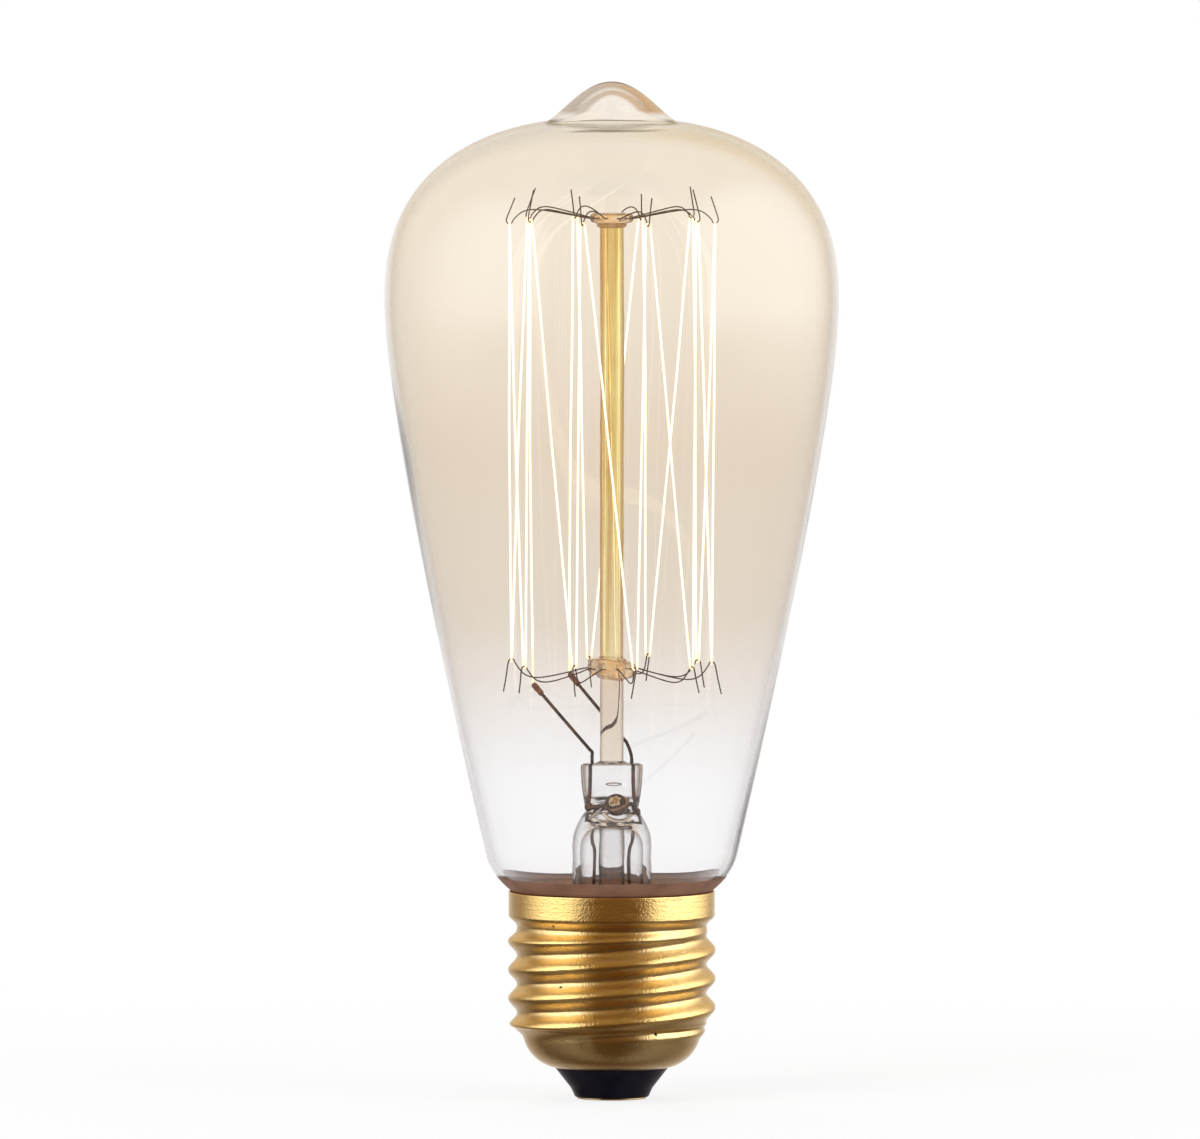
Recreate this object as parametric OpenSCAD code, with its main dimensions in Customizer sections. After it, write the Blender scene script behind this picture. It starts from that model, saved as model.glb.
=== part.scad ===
// Filament lamp: tipped pear-shaped envelope, cage filament on hooked supports, rolled screw cap.
// Millimetres, +Z up the lamp's axis, origin on the face of the centre contact.
// Azimuths run from +X, the viewer's right, towards +Y, away from the viewer.

/* [Cap] */
// Height of the shell's rim above the face of the centre contact
cap_h = 26.4; // [25.5:0.1:32]
// Diameter over the crests of the thread
thread_d = 26.26; // [25:0.02:30]
// Radial depth of the thread
thread_depth = 1.13; // [0.7:0.01:1.4]
// Rise of the thread in one turn
thread_pitch = 3.629; // [3:0.001:4.4]
// Drop from the rim to the crest at azimuth 0, without the thread's lean
crest_drop = 7.83; // [7:0.01:9]
// How far the crests lie above an even helix at azimuth 0, and below it at azimuth 180
thread_lean = 0.35; // [0:0.05:0.5]
// Thickness of the brass sheet
sheet_t = 0.3; // [0.22:0.01:0.4]
// Height of the plain skirt
skirt_h = 3; // [2:0.1:3.6]
// How far the skirt's radius stays under the crests
skirt_under = 0.09; // [0:0.01:0.4]
// Height over which the skirt narrows to the root of the thread
skirt_neck_h = 1.4; // [1:0.1:2]
// Radius of the bowl's rolled corner
bowl_r = 5; // [4:0.1:6]
// Step from the root of the thread in to the bowl
bowl_step = 0.7; // [0.3:0.05:1.2]
// Diameter of the insulator where it leaves the shell
insulator_d = 14.4; // [13.4:0.1:16]
// Height of the shell's lower edge above the contact's face
insulator_h = 4.08; // [3.4:0.02:5]
// Diameter of the insulator at its lower end
insulator_tip_d = 9.3; // [9.1:0.1:11]
// Diameter of the centre contact
contact_d = 8.8; // [7:0.1:9]
// Thickness of the contact's plate
contact_t = 0.35; // [0.25:0.05:0.5]
// Outer diameter of the contact's hollow rivet
rivet_d = 2.6; // [2.2:0.1:3.4]
// Wall of the contact's hollow rivet
rivet_wall = 0.5; // [0.3:0.05:0.6]
// Diameter of the flat on the solder
solder_face_d = 3.2; // [2:0.1:4]
// Height of the solder under the contact's plate
solder_h = 0.15; // [0.1:0.01:0.3]
// Diameter of the side solder on the skirt
side_solder_d = 1.9; // [1.6:0.1:2]
// Diameter of the side solder's outer face
side_solder_face_d = 1.3; // [1:0.1:1.5]
// How far the side solder stands out of the skirt
side_solder_out = 0.2; // [0.18:0.01:0.25]
// Azimuth of the side solder
side_solder_az = 120; // [60:5:150]

/* [Envelope] */
// Largest diameter of the glass
bulb_d = 57.4; // [50:0.1:70]
// Height of the largest diameter above the rim
belly_h = 74.6; // [72:0.2:90]
// Height of the crown, without the tip, above the ends of the upper tails
crown_h = 9.3; // [6:0.1:12]
// Roundness of the crown: 2 is an ellipse, more is squarer
crown_power = 2.4; // [2:0.05:3]
// Height of the drawn tip
tip_h = 4.5; // [2:0.1:7]
// Diameter of the drawn tip at its base
tip_d = 16.4; // [12:0.2:20]
// Thickness of the glass
glass_wall = 0.8; // [0.6:0.05:1]
// Thickness of the glass at the tip
tip_wall = 1.2; // [0.8:0.05:1.6]
// Diameter of the shoulder over the rim
shoulder_d = 31.7; // [29:0.1:36]
// Height of the shoulder above the rim
shoulder_h = 4.6; // [4:0.1:6]
// Narrowing of the radius for each millimetre of height at the shoulder
shoulder_slope = 0.2365; // [0.15:0.0005:0.3]
// Length of the straight neck under the rim, down to the seal
neck_depth = 11.4; // [10.5:0.1:12]

/* [Stem] */
// Diameter of the flare tube
tube_d = 9.9; // [9:0.1:12]
// Wall of the flare tube
tube_wall = 1; // [0.7:0.05:1.2]
// Height of the press over the rim
press_top_h = 16.2; // [14:0.1:22]
// Height of the press
press_h = 6.2; // [5.5:0.1:8]
// Distance between the two leads in the press
lead_gap = 5; // [4.6:0.1:5.4]
// Glass beside the leads in the press
lead_cover = 1.45; // [1:0.05:2]
// Glass in front of and behind the rod in the press
press_cover = 0.575; // [0.55:0.025:1]
// Height of the flare under the tube
flare_h = 9; // [6:0.5:11]
// Diameter of the exhaust tube
exhaust_d = 3.2; // [2.6:0.1:3.8]
// Wall of the exhaust tube
exhaust_wall = 0.7; // [0.5:0.05:0.9]
// Diameter of the exhaust hole in the front of the press
exhaust_hole_d = 1.2; // [0.8:0.1:1.4]

/* [Mount] */
// Diameter of the arbor rod
rod_d = 3.05; // [2.6:0.05:3.6]
// Depth of the rod's seat in the press
rod_seat = 2; // [1.5:0.1:2.6]
// Height of the lower button's middle over the press
lower_button_rise = 12; // [10:0.1:16]
// Distance between the middles of the two buttons
button_span = 56.9; // [45:0.1:60]
// Diameter of the lower button
lower_button_d = 6.3; // [5.6:0.1:8]
// Height of the lower button
lower_button_h = 2.4; // [1.6:0.1:3]
// Diameter of the upper button
upper_button_d = 5.54; // [5.2:0.02:7]
// Height of the upper button's disc
upper_button_h = 1.3; // [1:0.05:2]
// Height of the taper under the upper button's disc
upper_button_taper = 0.6; // [0.3:0.05:1]
// Depth of the supports' seats in the buttons
support_seat = 1; // [0.7:0.05:1.1]

/* [Filament] */
// Number of upper supports: one place below is left free for the leads
support_count = 10; // [7:1:12]
// Radius of the filament's cage
cage_r = 12.9; // [11:0.1:16]
// Diameter of the support wire
support_d = 0.2; // [0.16:0.01:0.3]
// Diameter of the filament's wire
filament_d = 0.3; // [0.2:0.01:0.36]
// Clearance between the filament and the hook that it hangs in
link_clear = 0.05; // [0.02:0.01:0.1]
// Azimuth of the first upper support
upper_first_az = 2; // [-10:1:20]
// Azimuth by which the lower supports lag behind the upper ones
lower_lag = 6; // [2:1:10]
// Arch of the upper supports
upper_arch = 1.2; // [0.4:0.1:2]
// Sag of the lower supports
lower_sag = 1.5; // [0.4:0.1:2.4]
// Length of the supports' free tails
tail_len = 3.4; // [2:0.1:5]

/* [Leads] */
// Diameter of the leads
lead_d = 0.43; // [0.3:0.01:0.5]
// Clearance round a lead between the neck and the shell
lead_clear = 0.135; // [0.1:0.005:0.2]
// Diameter of the crimps
crimp_d = 0.75; // [0.65:0.05:1]
// Length of the left crimp
crimp_left_len = 1.9; // [1.6:0.1:3]
// Length of the right crimp
crimp_right_len = 2.4; // [1.6:0.1:3]
// Depth of the left crimp's top under the lower button's middle
crimp_left_drop = 2.6; // [1:0.1:4]
// Depth of the right crimp's top under the lower button's middle
crimp_right_drop = 1.5; // [1:0.1:4]

/* [Hidden] */
part_fn = 48;
wire_fn = 24;
fine_fn = 360;
skin_steps = 24;
lead_sides = 8;
thin_sides = 6;

// Cap: shell
thread_r = thread_d / 2;
root_r = thread_r - thread_depth;
skirt_r = thread_r - skirt_under;
skirt_z = cap_h - skirt_h;
bowl_top_r = root_r - bowl_step;
bowl_cr = bowl_top_r - bowl_r;
insulator_r = insulator_d / 2;
bowl_edge_a = asin((insulator_r - bowl_cr) / bowl_r);
bowl_cz = insulator_h + bowl_r * cos(bowl_edge_a);
// The threaded sheet starts this far under the bowl's centre
thread_low = 1.5;
// The threaded sheet ends this far above the start of the skirt's narrowing
thread_high = 0.2;
// Depth to which the threaded sheet's thinned ends sink into the bowl and the skirt
lap = 0.2;
lap_thin = 0.05;
thread_z0 = bowl_cz - thread_low;
thread_z1 = skirt_z - skirt_neck_h + thread_high;
thread_run_in = 2;
thread_run_out = 1.8;
bowl_step_h = 0.7;
thread_rows = 32;
thread_cols = 40;
bowl_steps = 10;

// Cap: insulator and contact
tip_round_z = 1.45;
tip_round_out = 0.5;
plate_top = solder_h + contact_t;
lip_z = 0.35;
rivet_len = 3.4;
solder_plug = 1.05;
solder_wire_z = 0.4;
solder_spread = 0.8;
solder_face_r = solder_face_d / 2;
contact_r = contact_d / 2;
rivet_r = rivet_d / 2;
rivet_bore_r = rivet_r - rivet_wall;
insulator_tip_r = insulator_tip_d / 2;
cement_drop = 0.2;
cement_clear = 0.05;
// The cement's foot is on this step of the skirt's narrowing
cement_foot = 2;
side_solder_drop = 1;
// The side solder's cone starts this far inside the skirt's face, and is cut back to it
side_solder_sink = 0.1;
solder_z = cap_h - side_solder_drop;
lead_end_out = 0.1;

// Envelope
bulb_r = bulb_d / 2;
belly_z = cap_h + belly_h;
shoulder_z = cap_h + shoulder_h;
skirt_in_r = skirt_r - sheet_t;
neck_r = root_r - sheet_t - lead_d - 2 * lead_clear;
neck_in_r = neck_r - glass_wall;
neck_bend_drop = 1.2;
neck_bend_z = cap_h - neck_bend_drop;
seal_z = cap_h - neck_depth;
belly_pull = 14.6;
shoulder_pull = 7.4;
neck_pull = 3.6;
neck_end_pull = 0.2;

// Stem
tube_r = tube_d / 2;
press_z = cap_h + press_top_h;
dome_z = press_z - press_h;
dome_top_in = 1.45;
dome_top_r = tube_r - dome_top_in;
dome_h = 3.9;
// Fall of the dome towards the press: 0.5 is an ellipse, 1 a parabola, more is bell-shaped
dome_power = 1.1;
dome_roof = 1.1;
dome_roof_in = 0.75;
dome_roof_r = tube_r - tube_wall - dome_roof_in;
seal_band = 0.8;
flare_power = 2.2;
// Direction in which the flare leaves the neck
flare_start = [1, -1.2];
flare_steps = 10;
arc_steps = 6;
press_r = lead_gap / 2 + lead_cover;
press_t = rod_d / 2 + press_cover;
press_waist = 0.7;
press_round = 0.4;
// The press starts this far inside the dome's top
press_start_in = 0.15;
// Shares of the press's height at which it is flat and square
press_flat_at = 0.36;
press_square_at = 0.4;
// Squareness of the press's corners: 1 is round, 0 is square
press_square = 0.5;
press_rows = 14;
press_sides = 36;
exhaust_r = exhaust_d / 2;
exhaust_bore_r = exhaust_r - exhaust_wall;
exhaust_socket = 1.6;
chamber_h = 1.3;
chamber_z = dome_z - dome_roof + exhaust_socket;
knot_x = 0.8;
knot_r = 1.3;
knot_y = 2.4;
knot_z = chamber_z + chamber_h / 2;
// Sealed end of the exhaust tube: its rise over the insulator, blunt tip, taper and the bottom of its bore
exhaust_tip_rise = 2;
exhaust_blunt_r = 0.6;
exhaust_blunt_h = 0.6;
exhaust_taper_h = 2.2;
exhaust_tip_wall = 1.6;
exhaust_bore_taper = 1.2;

// Mount
rod_r = rod_d / 2;
lower_button_z = press_z + lower_button_rise;
upper_button_z = lower_button_z + button_span;
crown_rise = upper_button_z + tail_len + crown_h - belly_z;
// The rod ends this far under the seats of the upper supports
rod_top_drop = 0.3;
rod_top = upper_button_z - rod_top_drop;
button_round = 0.5;
taper_lip = 0.25;
// Roundness of the lower button's rim: 1 is a full half round
lower_button_round = 0.8;
support_r = support_d / 2;
filament_r = filament_d / 2;
link_r = support_r + filament_r + link_clear;
upper_eye_drop = 0.15;
lower_eye_rise = 0.6;
// Straight start of each arm outside the button
arm_start = 0.3;
// Bow of the arms, and spread of the tails' lengths, leans and sideways ends
arm_sway = 0.45;
tail_sway = 0.4;
lean_sway = 0.3;
side_sway = 0.7;
// How far the tails lean out from the hook's middle: the upper ones lean in
upper_lean = -0.4;
lower_lean = 0.9;
// How late along an arm its arch or sag is deepest: 1 is half way, more is nearer the hook
arch_late = 2.5;
// Place of the bend in a tail, as a share of its length, and the bend's rise
tail_bend = 0.45;
tail_bend_rise = 0.1;
// Spread of the eyes, outward, around and up
eye_sway_out = 0.2;
eye_sway_az = 0.8;
eye_sway_z = 0.25;

// Filament and leads
support_step = 360 / support_count;
free_place = round(144 / support_step);
lead_r = lead_d / 2;
lead_x = lead_gap / 2;
channel_r = neck_r + lead_clear + lead_r;
// The side lead's way through the cement: radii and heights, up to its end in the solder
side_lead_swing = 0.45;
side_lead_bend = 0.5;
side_lead_seat = 0.1;
side_lead_points = [
    for (p = [
        [channel_r, skirt_z - skirt_neck_h], [channel_r + side_lead_swing, skirt_z + lap],
        [skirt_in_r - side_lead_bend, solder_z - side_lead_bend],
        [skirt_in_r - side_lead_seat, solder_z], [skirt_r + lead_end_out, solder_z]
    ]) p[0] * out_at(side_solder_az) + [0, 0, p[1]]
];
// The side lead's turn under the seal
seal_lead_drop = 1.3;
seal_lead_run = 1;
// The centre lead's way past the exhaust tube's tip
centre_lead_in = 0.5;
centre_lead_dip = 0.4;
// Azimuth between each crimp and the upper support beside it
crimp_left_turn = -4.4;
crimp_right_turn = 5.2;
crimp_left_tip = on_cage(upper_az(free_place) + crimp_left_turn, lower_button_z - crimp_left_drop);
crimp_right_tip = on_cage(upper_az(free_place - 1) + crimp_right_turn, lower_button_z - crimp_right_drop);
// Bends of the inner leads over the press: the right one bends twice, round the back of the rod
lead_start = 0.9;
lead_left_rise = 1.4;
lead_right_rise = 2.6;
lead_right_in = 0.65;
lead_right_back = 1;
lead_left_bend = [-lead_x, 0, press_z + lead_left_rise];
lead_right_bends = [
    [lead_x, 0, press_z + lead_start], [lead_x - lead_right_in, lead_right_back, press_z + lead_right_rise]
];
// Straight run after a bend
lead_run = 0.6;
crimp_left_dir = unit(crimp_left_tip - lead_left_bend);
crimp_right_dir = unit(crimp_right_tip - lead_right_bends[1]);
// Depth to which the filament is held in a crimp, and the gap behind it
crimp_bite = 0.9;
crimp_gap = 0.1;
// The seal wires reach from over the press's middle down into the dome
seal_top_drop = 1;
seal_low_drop = 0.3;
seal_top = press_z - seal_top_drop;
seal_low = dome_z - seal_low_drop;

// Plain helpers
function unit(v) = v / norm(v);
function smooth(t) = let (s = min(1, max(0, t))) s * s * (3 - 2 * s);
function flip(list) = [for (i = [len(list) - 1:-1:0]) list[i]];
function sway(k, size) = size * sin(137 * k + 40);
function bezier(p, t) =
    pow(1 - t, 3) * p[0] + 3 * pow(1 - t, 2) * t * p[1] + 3 * (1 - t) * t * t * p[2] + t * t * t * p[3];
function curve(p, steps) = [for (i = [1:steps]) bezier(p, i / steps)];
function out_at(az) = [cos(az), sin(az), 0];
function side_at(az) = [-sin(az), cos(az), 0];
function on_cage(az, z) = cage_r * out_at(az) + [0, 0, z];

// Points of a profile moved to its right-hand side, each by its own thickness
function inset(p, wall, first, last) = [
    for (i = [0:len(p) - 1])
        let (a = i == 0 ? first : p[i - 1], b = i == len(p) - 1 ? last : p[i + 1], t = unit(b - a))
            p[i] + wall[i] * [t[1], -t[0]]
];

// Closed tube through the points of a path: u_refs hold the direction of each ring's first corner
module wire(path, refs, d, sides) {
    n = len(path);
    rings = [
        for (i = [0:n - 1])
            let (
                t = unit(path[min(i + 1, n - 1)] - path[max(i - 1, 0)]),
                u = unit(refs[i] - (refs[i] * t) * t),
                v = cross(t, u)
            )
                for (j = [0:sides - 1])
                    path[i] + d / 2 * (cos(360 * j / sides) * u + sin(360 * j / sides) * v)
    ];
    walls = [
        for (i = [0:n - 2])
            for (j = [0:sides - 1])
                let (a = i * sides + j, b = i * sides + (j + 1) % sides)
                    each [[a, b + sides, b], [a, a + sides, b + sides]]
    ];
    start_cap = [[for (j = [0:sides - 1]) j]];
    end_cap = [[for (j = [sides - 1:-1:0]) (n - 1) * sides + j]];
    polyhedron(rings, concat(walls, start_cap, end_cap));
}

module flat_wire(path, ref, d, sides) {
    wire(path, [for (p = path) ref], d, sides);
}

// Round rod from one point to another
module rod_between(a, b, r) {
    v = b - a;
    translate(a)
        rotate([0, acos(v[2] / norm(v)), atan2(v[1], v[0])])
            cylinder(h = norm(v), r = r, $fn = wire_fn);
}

// Outlines of the envelope, from the axis at the tip down to the seal
function crown_z(r) =
    belly_z + crown_rise * pow(1 - pow(min(r, bulb_r) / bulb_r, crown_power), 1 / crown_power)
    + tip_h * pow(max(0, 1 - pow(r / (tip_d / 2), 2)), 1.5);
tip_rs = [for (i = [0:12]) tip_d / 2 * i / 12];
rim_a0 = acos(pow(tip_d / bulb_d, crown_power / 2));
crown_rs = [for (i = [1:skin_steps]) bulb_r * pow(cos(rim_a0 * (1 - i / skin_steps)), 2 / crown_power)];
shoulder = [shoulder_d / 2, shoulder_z];
shoulder_dir = [shoulder_slope, 1];
belly_ps = [
    [bulb_r, belly_z], [bulb_r, belly_z - belly_pull],
    shoulder + shoulder_pull * shoulder_dir, shoulder
];
neck_ps = [
    shoulder, shoulder - neck_pull * shoulder_dir,
    [neck_r, neck_bend_z + neck_end_pull], [neck_r, neck_bend_z]
];
neck_steps = 12;
neck_outer = curve(neck_ps, neck_steps);
envelope_outer = concat(
    [for (r = concat(tip_rs, crown_rs)) [r, crown_z(r)]],
    curve(belly_ps, skin_steps),
    neck_outer,
    [[neck_r, seal_z]]
);
envelope_walls = [
    for (p = envelope_outer)
        glass_wall + (p[1] > belly_z ? (tip_wall - glass_wall) * max(0, 1 - pow(p[0] / (tip_d / 2), 2)) : 0)
];
envelope_inner = inset(
    envelope_outer, envelope_walls,
    [-envelope_outer[1][0], envelope_outer[1][1]], [neck_r, seal_z - 1]
);

module glass_envelope() {
    color([0.95, 0.83, 0.62, 0.35])
        rotate_extrude($fn = part_fn)
            polygon(concat(envelope_outer, flip(envelope_inner)));
}

// Outlines of the shell: bowl, threaded sheet and skirt
function bowl_arc(r, top_z) =
    let (a1 = acos((bowl_cz - top_z) / r))
        [for (i = [0:bowl_steps])
            let (a = bowl_edge_a + (a1 - bowl_edge_a) * i / bowl_steps)
                [bowl_cr + r * sin(a), bowl_cz - r * cos(a)]];
bowl_outer = bowl_arc(bowl_r, thread_z0);
bowl_inner = bowl_arc(bowl_r - sheet_t, thread_z0);
fill_z = bowl_inner[bowl_steps - 1][1];
exhaust_tip_z = fill_z + exhaust_tip_rise;

function skirt_at(z) = root_r + (skirt_r - root_r) * smooth((z - skirt_z + skirt_neck_h) / skirt_neck_h);
skirt_steps = 6;
skirt_outer = concat(
    [for (i = [0:skirt_steps])
        let (z = thread_z1 + (skirt_z - thread_z1) * i / skirt_steps) [skirt_at(z), z]],
    [[skirt_r, cap_h]]
);
skirt_inner = [for (p = skirt_outer) p - [sheet_t, 0]];

function bowl_at(z) = bowl_cr + sqrt(bowl_r * bowl_r - pow(min(0, z - bowl_cz), 2));
function shell_at(z) =
    z < bowl_cz ? bowl_at(z)
    : z < thread_z1 - thread_high ? bowl_top_r + bowl_step * smooth((z - bowl_cz) / bowl_step_h)
    : skirt_at(z);
function crest_at(az, z) =
    (1 + cos(360 * (z - cap_h + crest_drop - thread_lean * cos(az)) / thread_pitch - az)) / 2;
function thread_share(z) =
    smooth((z - thread_z0) / thread_run_in) * smooth((thread_z1 - thread_high - z) / thread_run_out);
function thread_at(az, z) = shell_at(z) + thread_depth * thread_share(z) * crest_at(az, z);

module cap_shell() {
    color("goldenrod") {
        rotate_extrude($fn = part_fn) polygon(concat(bowl_outer, flip(bowl_inner)));
        difference() {
            rotate_extrude($fn = part_fn) polygon(concat(skirt_inner, flip(skirt_outer)));
            side_lead_hole();
        }
        threaded_sheet();
    }
}

// The threaded sheet as a closed grid: its ends are thinner and lie inside the bowl and the skirt
module threaded_sheet() {
    rows = concat(
        [thread_z0 - lap],
        [for (i = [0:thread_rows]) thread_z0 + (thread_z1 - thread_z0) * i / thread_rows],
        [thread_z1 + lap]
    );
    n = len(rows);
    m = thread_cols;
    function thin(i) = i < 2 || i > n - 3 ? lap_thin : 0;
    function skin(i, j, depth) =
        let (az = 360 * j / m, r = thread_at(az, rows[i]) - depth)
            [r * cos(az), r * sin(az), rows[i]];
    outer = [for (i = [0:n - 1]) for (j = [0:m - 1]) skin(i, j, thin(i))];
    inner = [for (i = [0:n - 1]) for (j = [0:m - 1]) skin(i, j, sheet_t - thin(i))];
    base = n * m;
    function at(i, j) = i * m + j % m;
    outer_faces = [
        for (i = [0:n - 2]) for (j = [0:m - 1])
            each [[at(i, j), at(i + 1, j + 1), at(i, j + 1)], [at(i, j), at(i + 1, j), at(i + 1, j + 1)]]
    ];
    inner_faces = [for (f = outer_faces) [f[0] + base, f[2] + base, f[1] + base]];
    low_faces = [
        for (j = [0:m - 1])
            each [
                [at(0, j), at(0, j + 1), base + at(0, j + 1)],
                [at(0, j), base + at(0, j + 1), base + at(0, j)]
            ]
    ];
    t = n - 1;
    high_faces = [
        for (j = [0:m - 1])
            each [
                [at(t, j), base + at(t, j + 1), at(t, j + 1)],
                [at(t, j), base + at(t, j), base + at(t, j + 1)]
            ]
    ];
    polyhedron(concat(outer, inner), concat(outer_faces, inner_faces, low_faces, high_faces));
}

module cap_insulator() {
    arc = [for (i = [0:bowl_steps - 1]) bowl_inner[i]];
    color([0.07, 0.07, 0.09])
        rotate_extrude($fn = part_fn)
            polygon(concat(
                [[rivet_r, plate_top], [contact_r, plate_top], [contact_r, lip_z],
                 [insulator_tip_r, lip_z], [insulator_tip_r + tip_round_out, tip_round_z], bowl_outer[0]],
                arc,
                [[rivet_r, fill_z]]
            ));
}

module centre_contact() {
    color("darkgoldenrod")
        rotate_extrude($fn = part_fn)
            polygon([
                [rivet_bore_r, solder_h], [contact_r, solder_h], [contact_r, plate_top],
                [rivet_r, plate_top], [rivet_r, plate_top + rivet_len], [rivet_bore_r, plate_top + rivet_len]
            ]);
}

module centre_solder() {
    color("silver")
        difference() {
            rotate_extrude($fn = part_fn)
                polygon([
                    [0, 0], [solder_face_r, 0], [solder_face_r + solder_spread, solder_h],
                    [rivet_bore_r, solder_h], [rivet_bore_r, solder_h + solder_plug],
                    [0, solder_h + solder_plug]
                ]);
            translate([0, 0, solder_wire_z]) cylinder(h = solder_plug, r = lead_r, $fn = wire_fn);
        }
}

module side_solder() {
    color("silver")
        difference() {
            translate((skirt_r - side_solder_sink) * out_at(side_solder_az) + [0, 0, solder_z])
                rotate([0, 90, side_solder_az])
                    cylinder(
                        h = side_solder_sink + side_solder_out,
                        r1 = side_solder_d / 2, r2 = side_solder_face_d / 2, $fn = part_fn
                    );
            cylinder(h = cap_h, r = skirt_r, $fn = fine_fn);
            side_lead_hole();
        }
}

// Hole for the end of the side lead, through the skirt and into the solder
module side_lead_hole() {
    rod_between(side_lead_points[3], side_lead_points[4], lead_r);
}

module basing_cement() {
    bed = [for (i = [cement_foot:skirt_steps]) skirt_inner[i]];
    glass = [for (p = flip(neck_outer)) if (p[1] < cap_h - cement_drop) p];
    color("saddlebrown")
        difference() {
            rotate_extrude($fn = part_fn)
                polygon(concat(
                    [[neck_r, bed[0][1]]], bed, [[skirt_in_r, cap_h - cement_drop / 2]], flip(glass)
                ));
            flat_wire(side_lead_points, side_at(side_solder_az), lead_d + 2 * cement_clear, lead_sides);
        }
}

// Flare tube, dome and press in one piece of glass
module glass_stem() {
    flare = [
        for (i = [0:flare_steps])
            let (s = i / flare_steps)
                [tube_r + (neck_in_r - tube_r) * pow(1 - s, flare_power), seal_z + seal_band + flare_h * s]
    ];
    under = inset(flare, [for (p = flare) -tube_wall], flare[0] + flare_start, flare[flare_steps] + [0, 1]);
    dome_low = dome_z - dome_h;
    dome = [
        for (i = [0:arc_steps])
            let (s = i / arc_steps)
                [dome_top_r + (tube_r - dome_top_r) * pow(1 - s * s, dome_power), dome_low + dome_h * s]
    ];
    roof_z = dome_z - dome_roof;
    color([0.85, 0.88, 0.9, 0.5])
        difference() {
            union() {
                rotate_extrude($fn = part_fn)
                    polygon(concat(
                        [[neck_in_r, seal_z]], flare, dome,
                        [[0, dome_z], [0, roof_z], [dome_roof_r, roof_z],
                         [tube_r - tube_wall, dome_low - dome_roof / 2]],
                        flip(under), [[under[0][0], seal_z]]
                    ));
                press();
                translate([knot_x, -knot_y, knot_z]) sphere(r = knot_r, $fn = part_fn);
            }
            for (x = [-lead_x, lead_x])
                translate([x, 0, roof_z - 1])
                    cylinder(h = press_z - roof_z + 2, r = lead_r, $fn = wire_fn);
            translate([0, 0, press_z - rod_seat]) cylinder(h = rod_seat + 1, r = rod_r, $fn = part_fn);
            translate([0, 0, roof_z - 1]) cylinder(h = exhaust_socket + 1, r = exhaust_r, $fn = part_fn);
            translate([0, 0, roof_z])
                cylinder(h = exhaust_socket + chamber_h, r = exhaust_bore_r, $fn = part_fn);
            rod_between([knot_x, 0, knot_z], [knot_x, -tube_r, knot_z], exhaust_hole_d / 2);
        }
}

// The pinched glass over the dome, from round below to a flat slab with rounded edges
module press() {
    rows = press_rows;
    m = press_sides;
    low = dome_z - dome_roof / 2;
    points = [
        for (i = [0:rows])
            let (
                z = i == 0 ? low : dome_z + press_h * (i - 1) / (rows - 1),
                s = max(0, z - dome_z) / press_h,
                edge = min(1, max(0, (z - press_z + press_round) / press_round)),
                cut = press_round * (1 - sqrt(1 - edge * edge)),
                flat = smooth(s / press_flat_at),
                a = press_r - press_waist * pow(1 - s, 2) - cut,
                b = (dome_top_r - press_start_in) * (1 - flat) + press_t * flat - cut,
                square = 1 - press_square * smooth(s / press_square_at)
            )
                for (j = [0:m - 1])
                    let (c = cos(360 * j / m), d = sin(360 * j / m))
                        [a * sign(c) * pow(abs(c), square), b * sign(d) * pow(abs(d), square), z]
    ];
    walls = [
        for (i = [0:rows - 1]) for (j = [0:m - 1])
            let (p = i * m + j, q = i * m + (j + 1) % m)
                each [[p, q + m, q], [p, p + m, q + m]]
    ];
    caps = [[for (j = [0:m - 1]) j], [for (j = [m - 1:-1:0]) rows * m + j]];
    polyhedron(points, concat(walls, caps));
}

module exhaust_tube() {
    blunt = [
        for (i = [0:arc_steps])
            let (a = 90 * i / arc_steps)
                [exhaust_blunt_r * sin(a), exhaust_tip_z + exhaust_blunt_h * (1 - cos(a))]
    ];
    bore_z = exhaust_tip_z + exhaust_tip_wall;
    color([0.85, 0.88, 0.9, 0.5])
        rotate_extrude($fn = part_fn)
            polygon(concat(blunt, [
                [exhaust_r, exhaust_tip_z + exhaust_taper_h],
                [exhaust_r, chamber_z], [exhaust_bore_r, chamber_z],
                [exhaust_bore_r, bore_z + exhaust_bore_taper], [0, bore_z]
            ]));
}

module arbor_rod() {
    color([0.95, 0.78, 0.35, 0.6])
        translate([0, 0, press_z - rod_seat])
            cylinder(h = rod_top - press_z + rod_seat, r = rod_r, $fn = part_fn);
}

// Seats of the supports: blind holes in a button, pointing out at each azimuth
module support_seats(azimuths, button_r) {
    for (az = azimuths)
        rod_between((button_r - support_seat) * out_at(az), (button_r + 1) * out_at(az), support_r);
}

module lower_button() {
    r = lower_button_d / 2;
    h = lower_button_h / 2;
    round_r = min(h, r - rod_r) * lower_button_round;
    arc = [
        for (i = [0:arc_steps])
            let (a = 90 * i / arc_steps) [r - round_r + round_r * cos(a), h - round_r + round_r * sin(a)]
    ];
    color([0.9, 0.6, 0.35])
        translate([0, 0, lower_button_z])
            difference() {
                rotate_extrude($fn = part_fn)
                    polygon(concat(
                        [[rod_r, -h]], flip([for (p = arc) [p[0], -p[1]]]), arc, [[rod_r, h]]
                    ));
                support_seats([for (j = [1:support_count - 1]) lower_az(lower_place(j))], r);
            }
}

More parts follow.
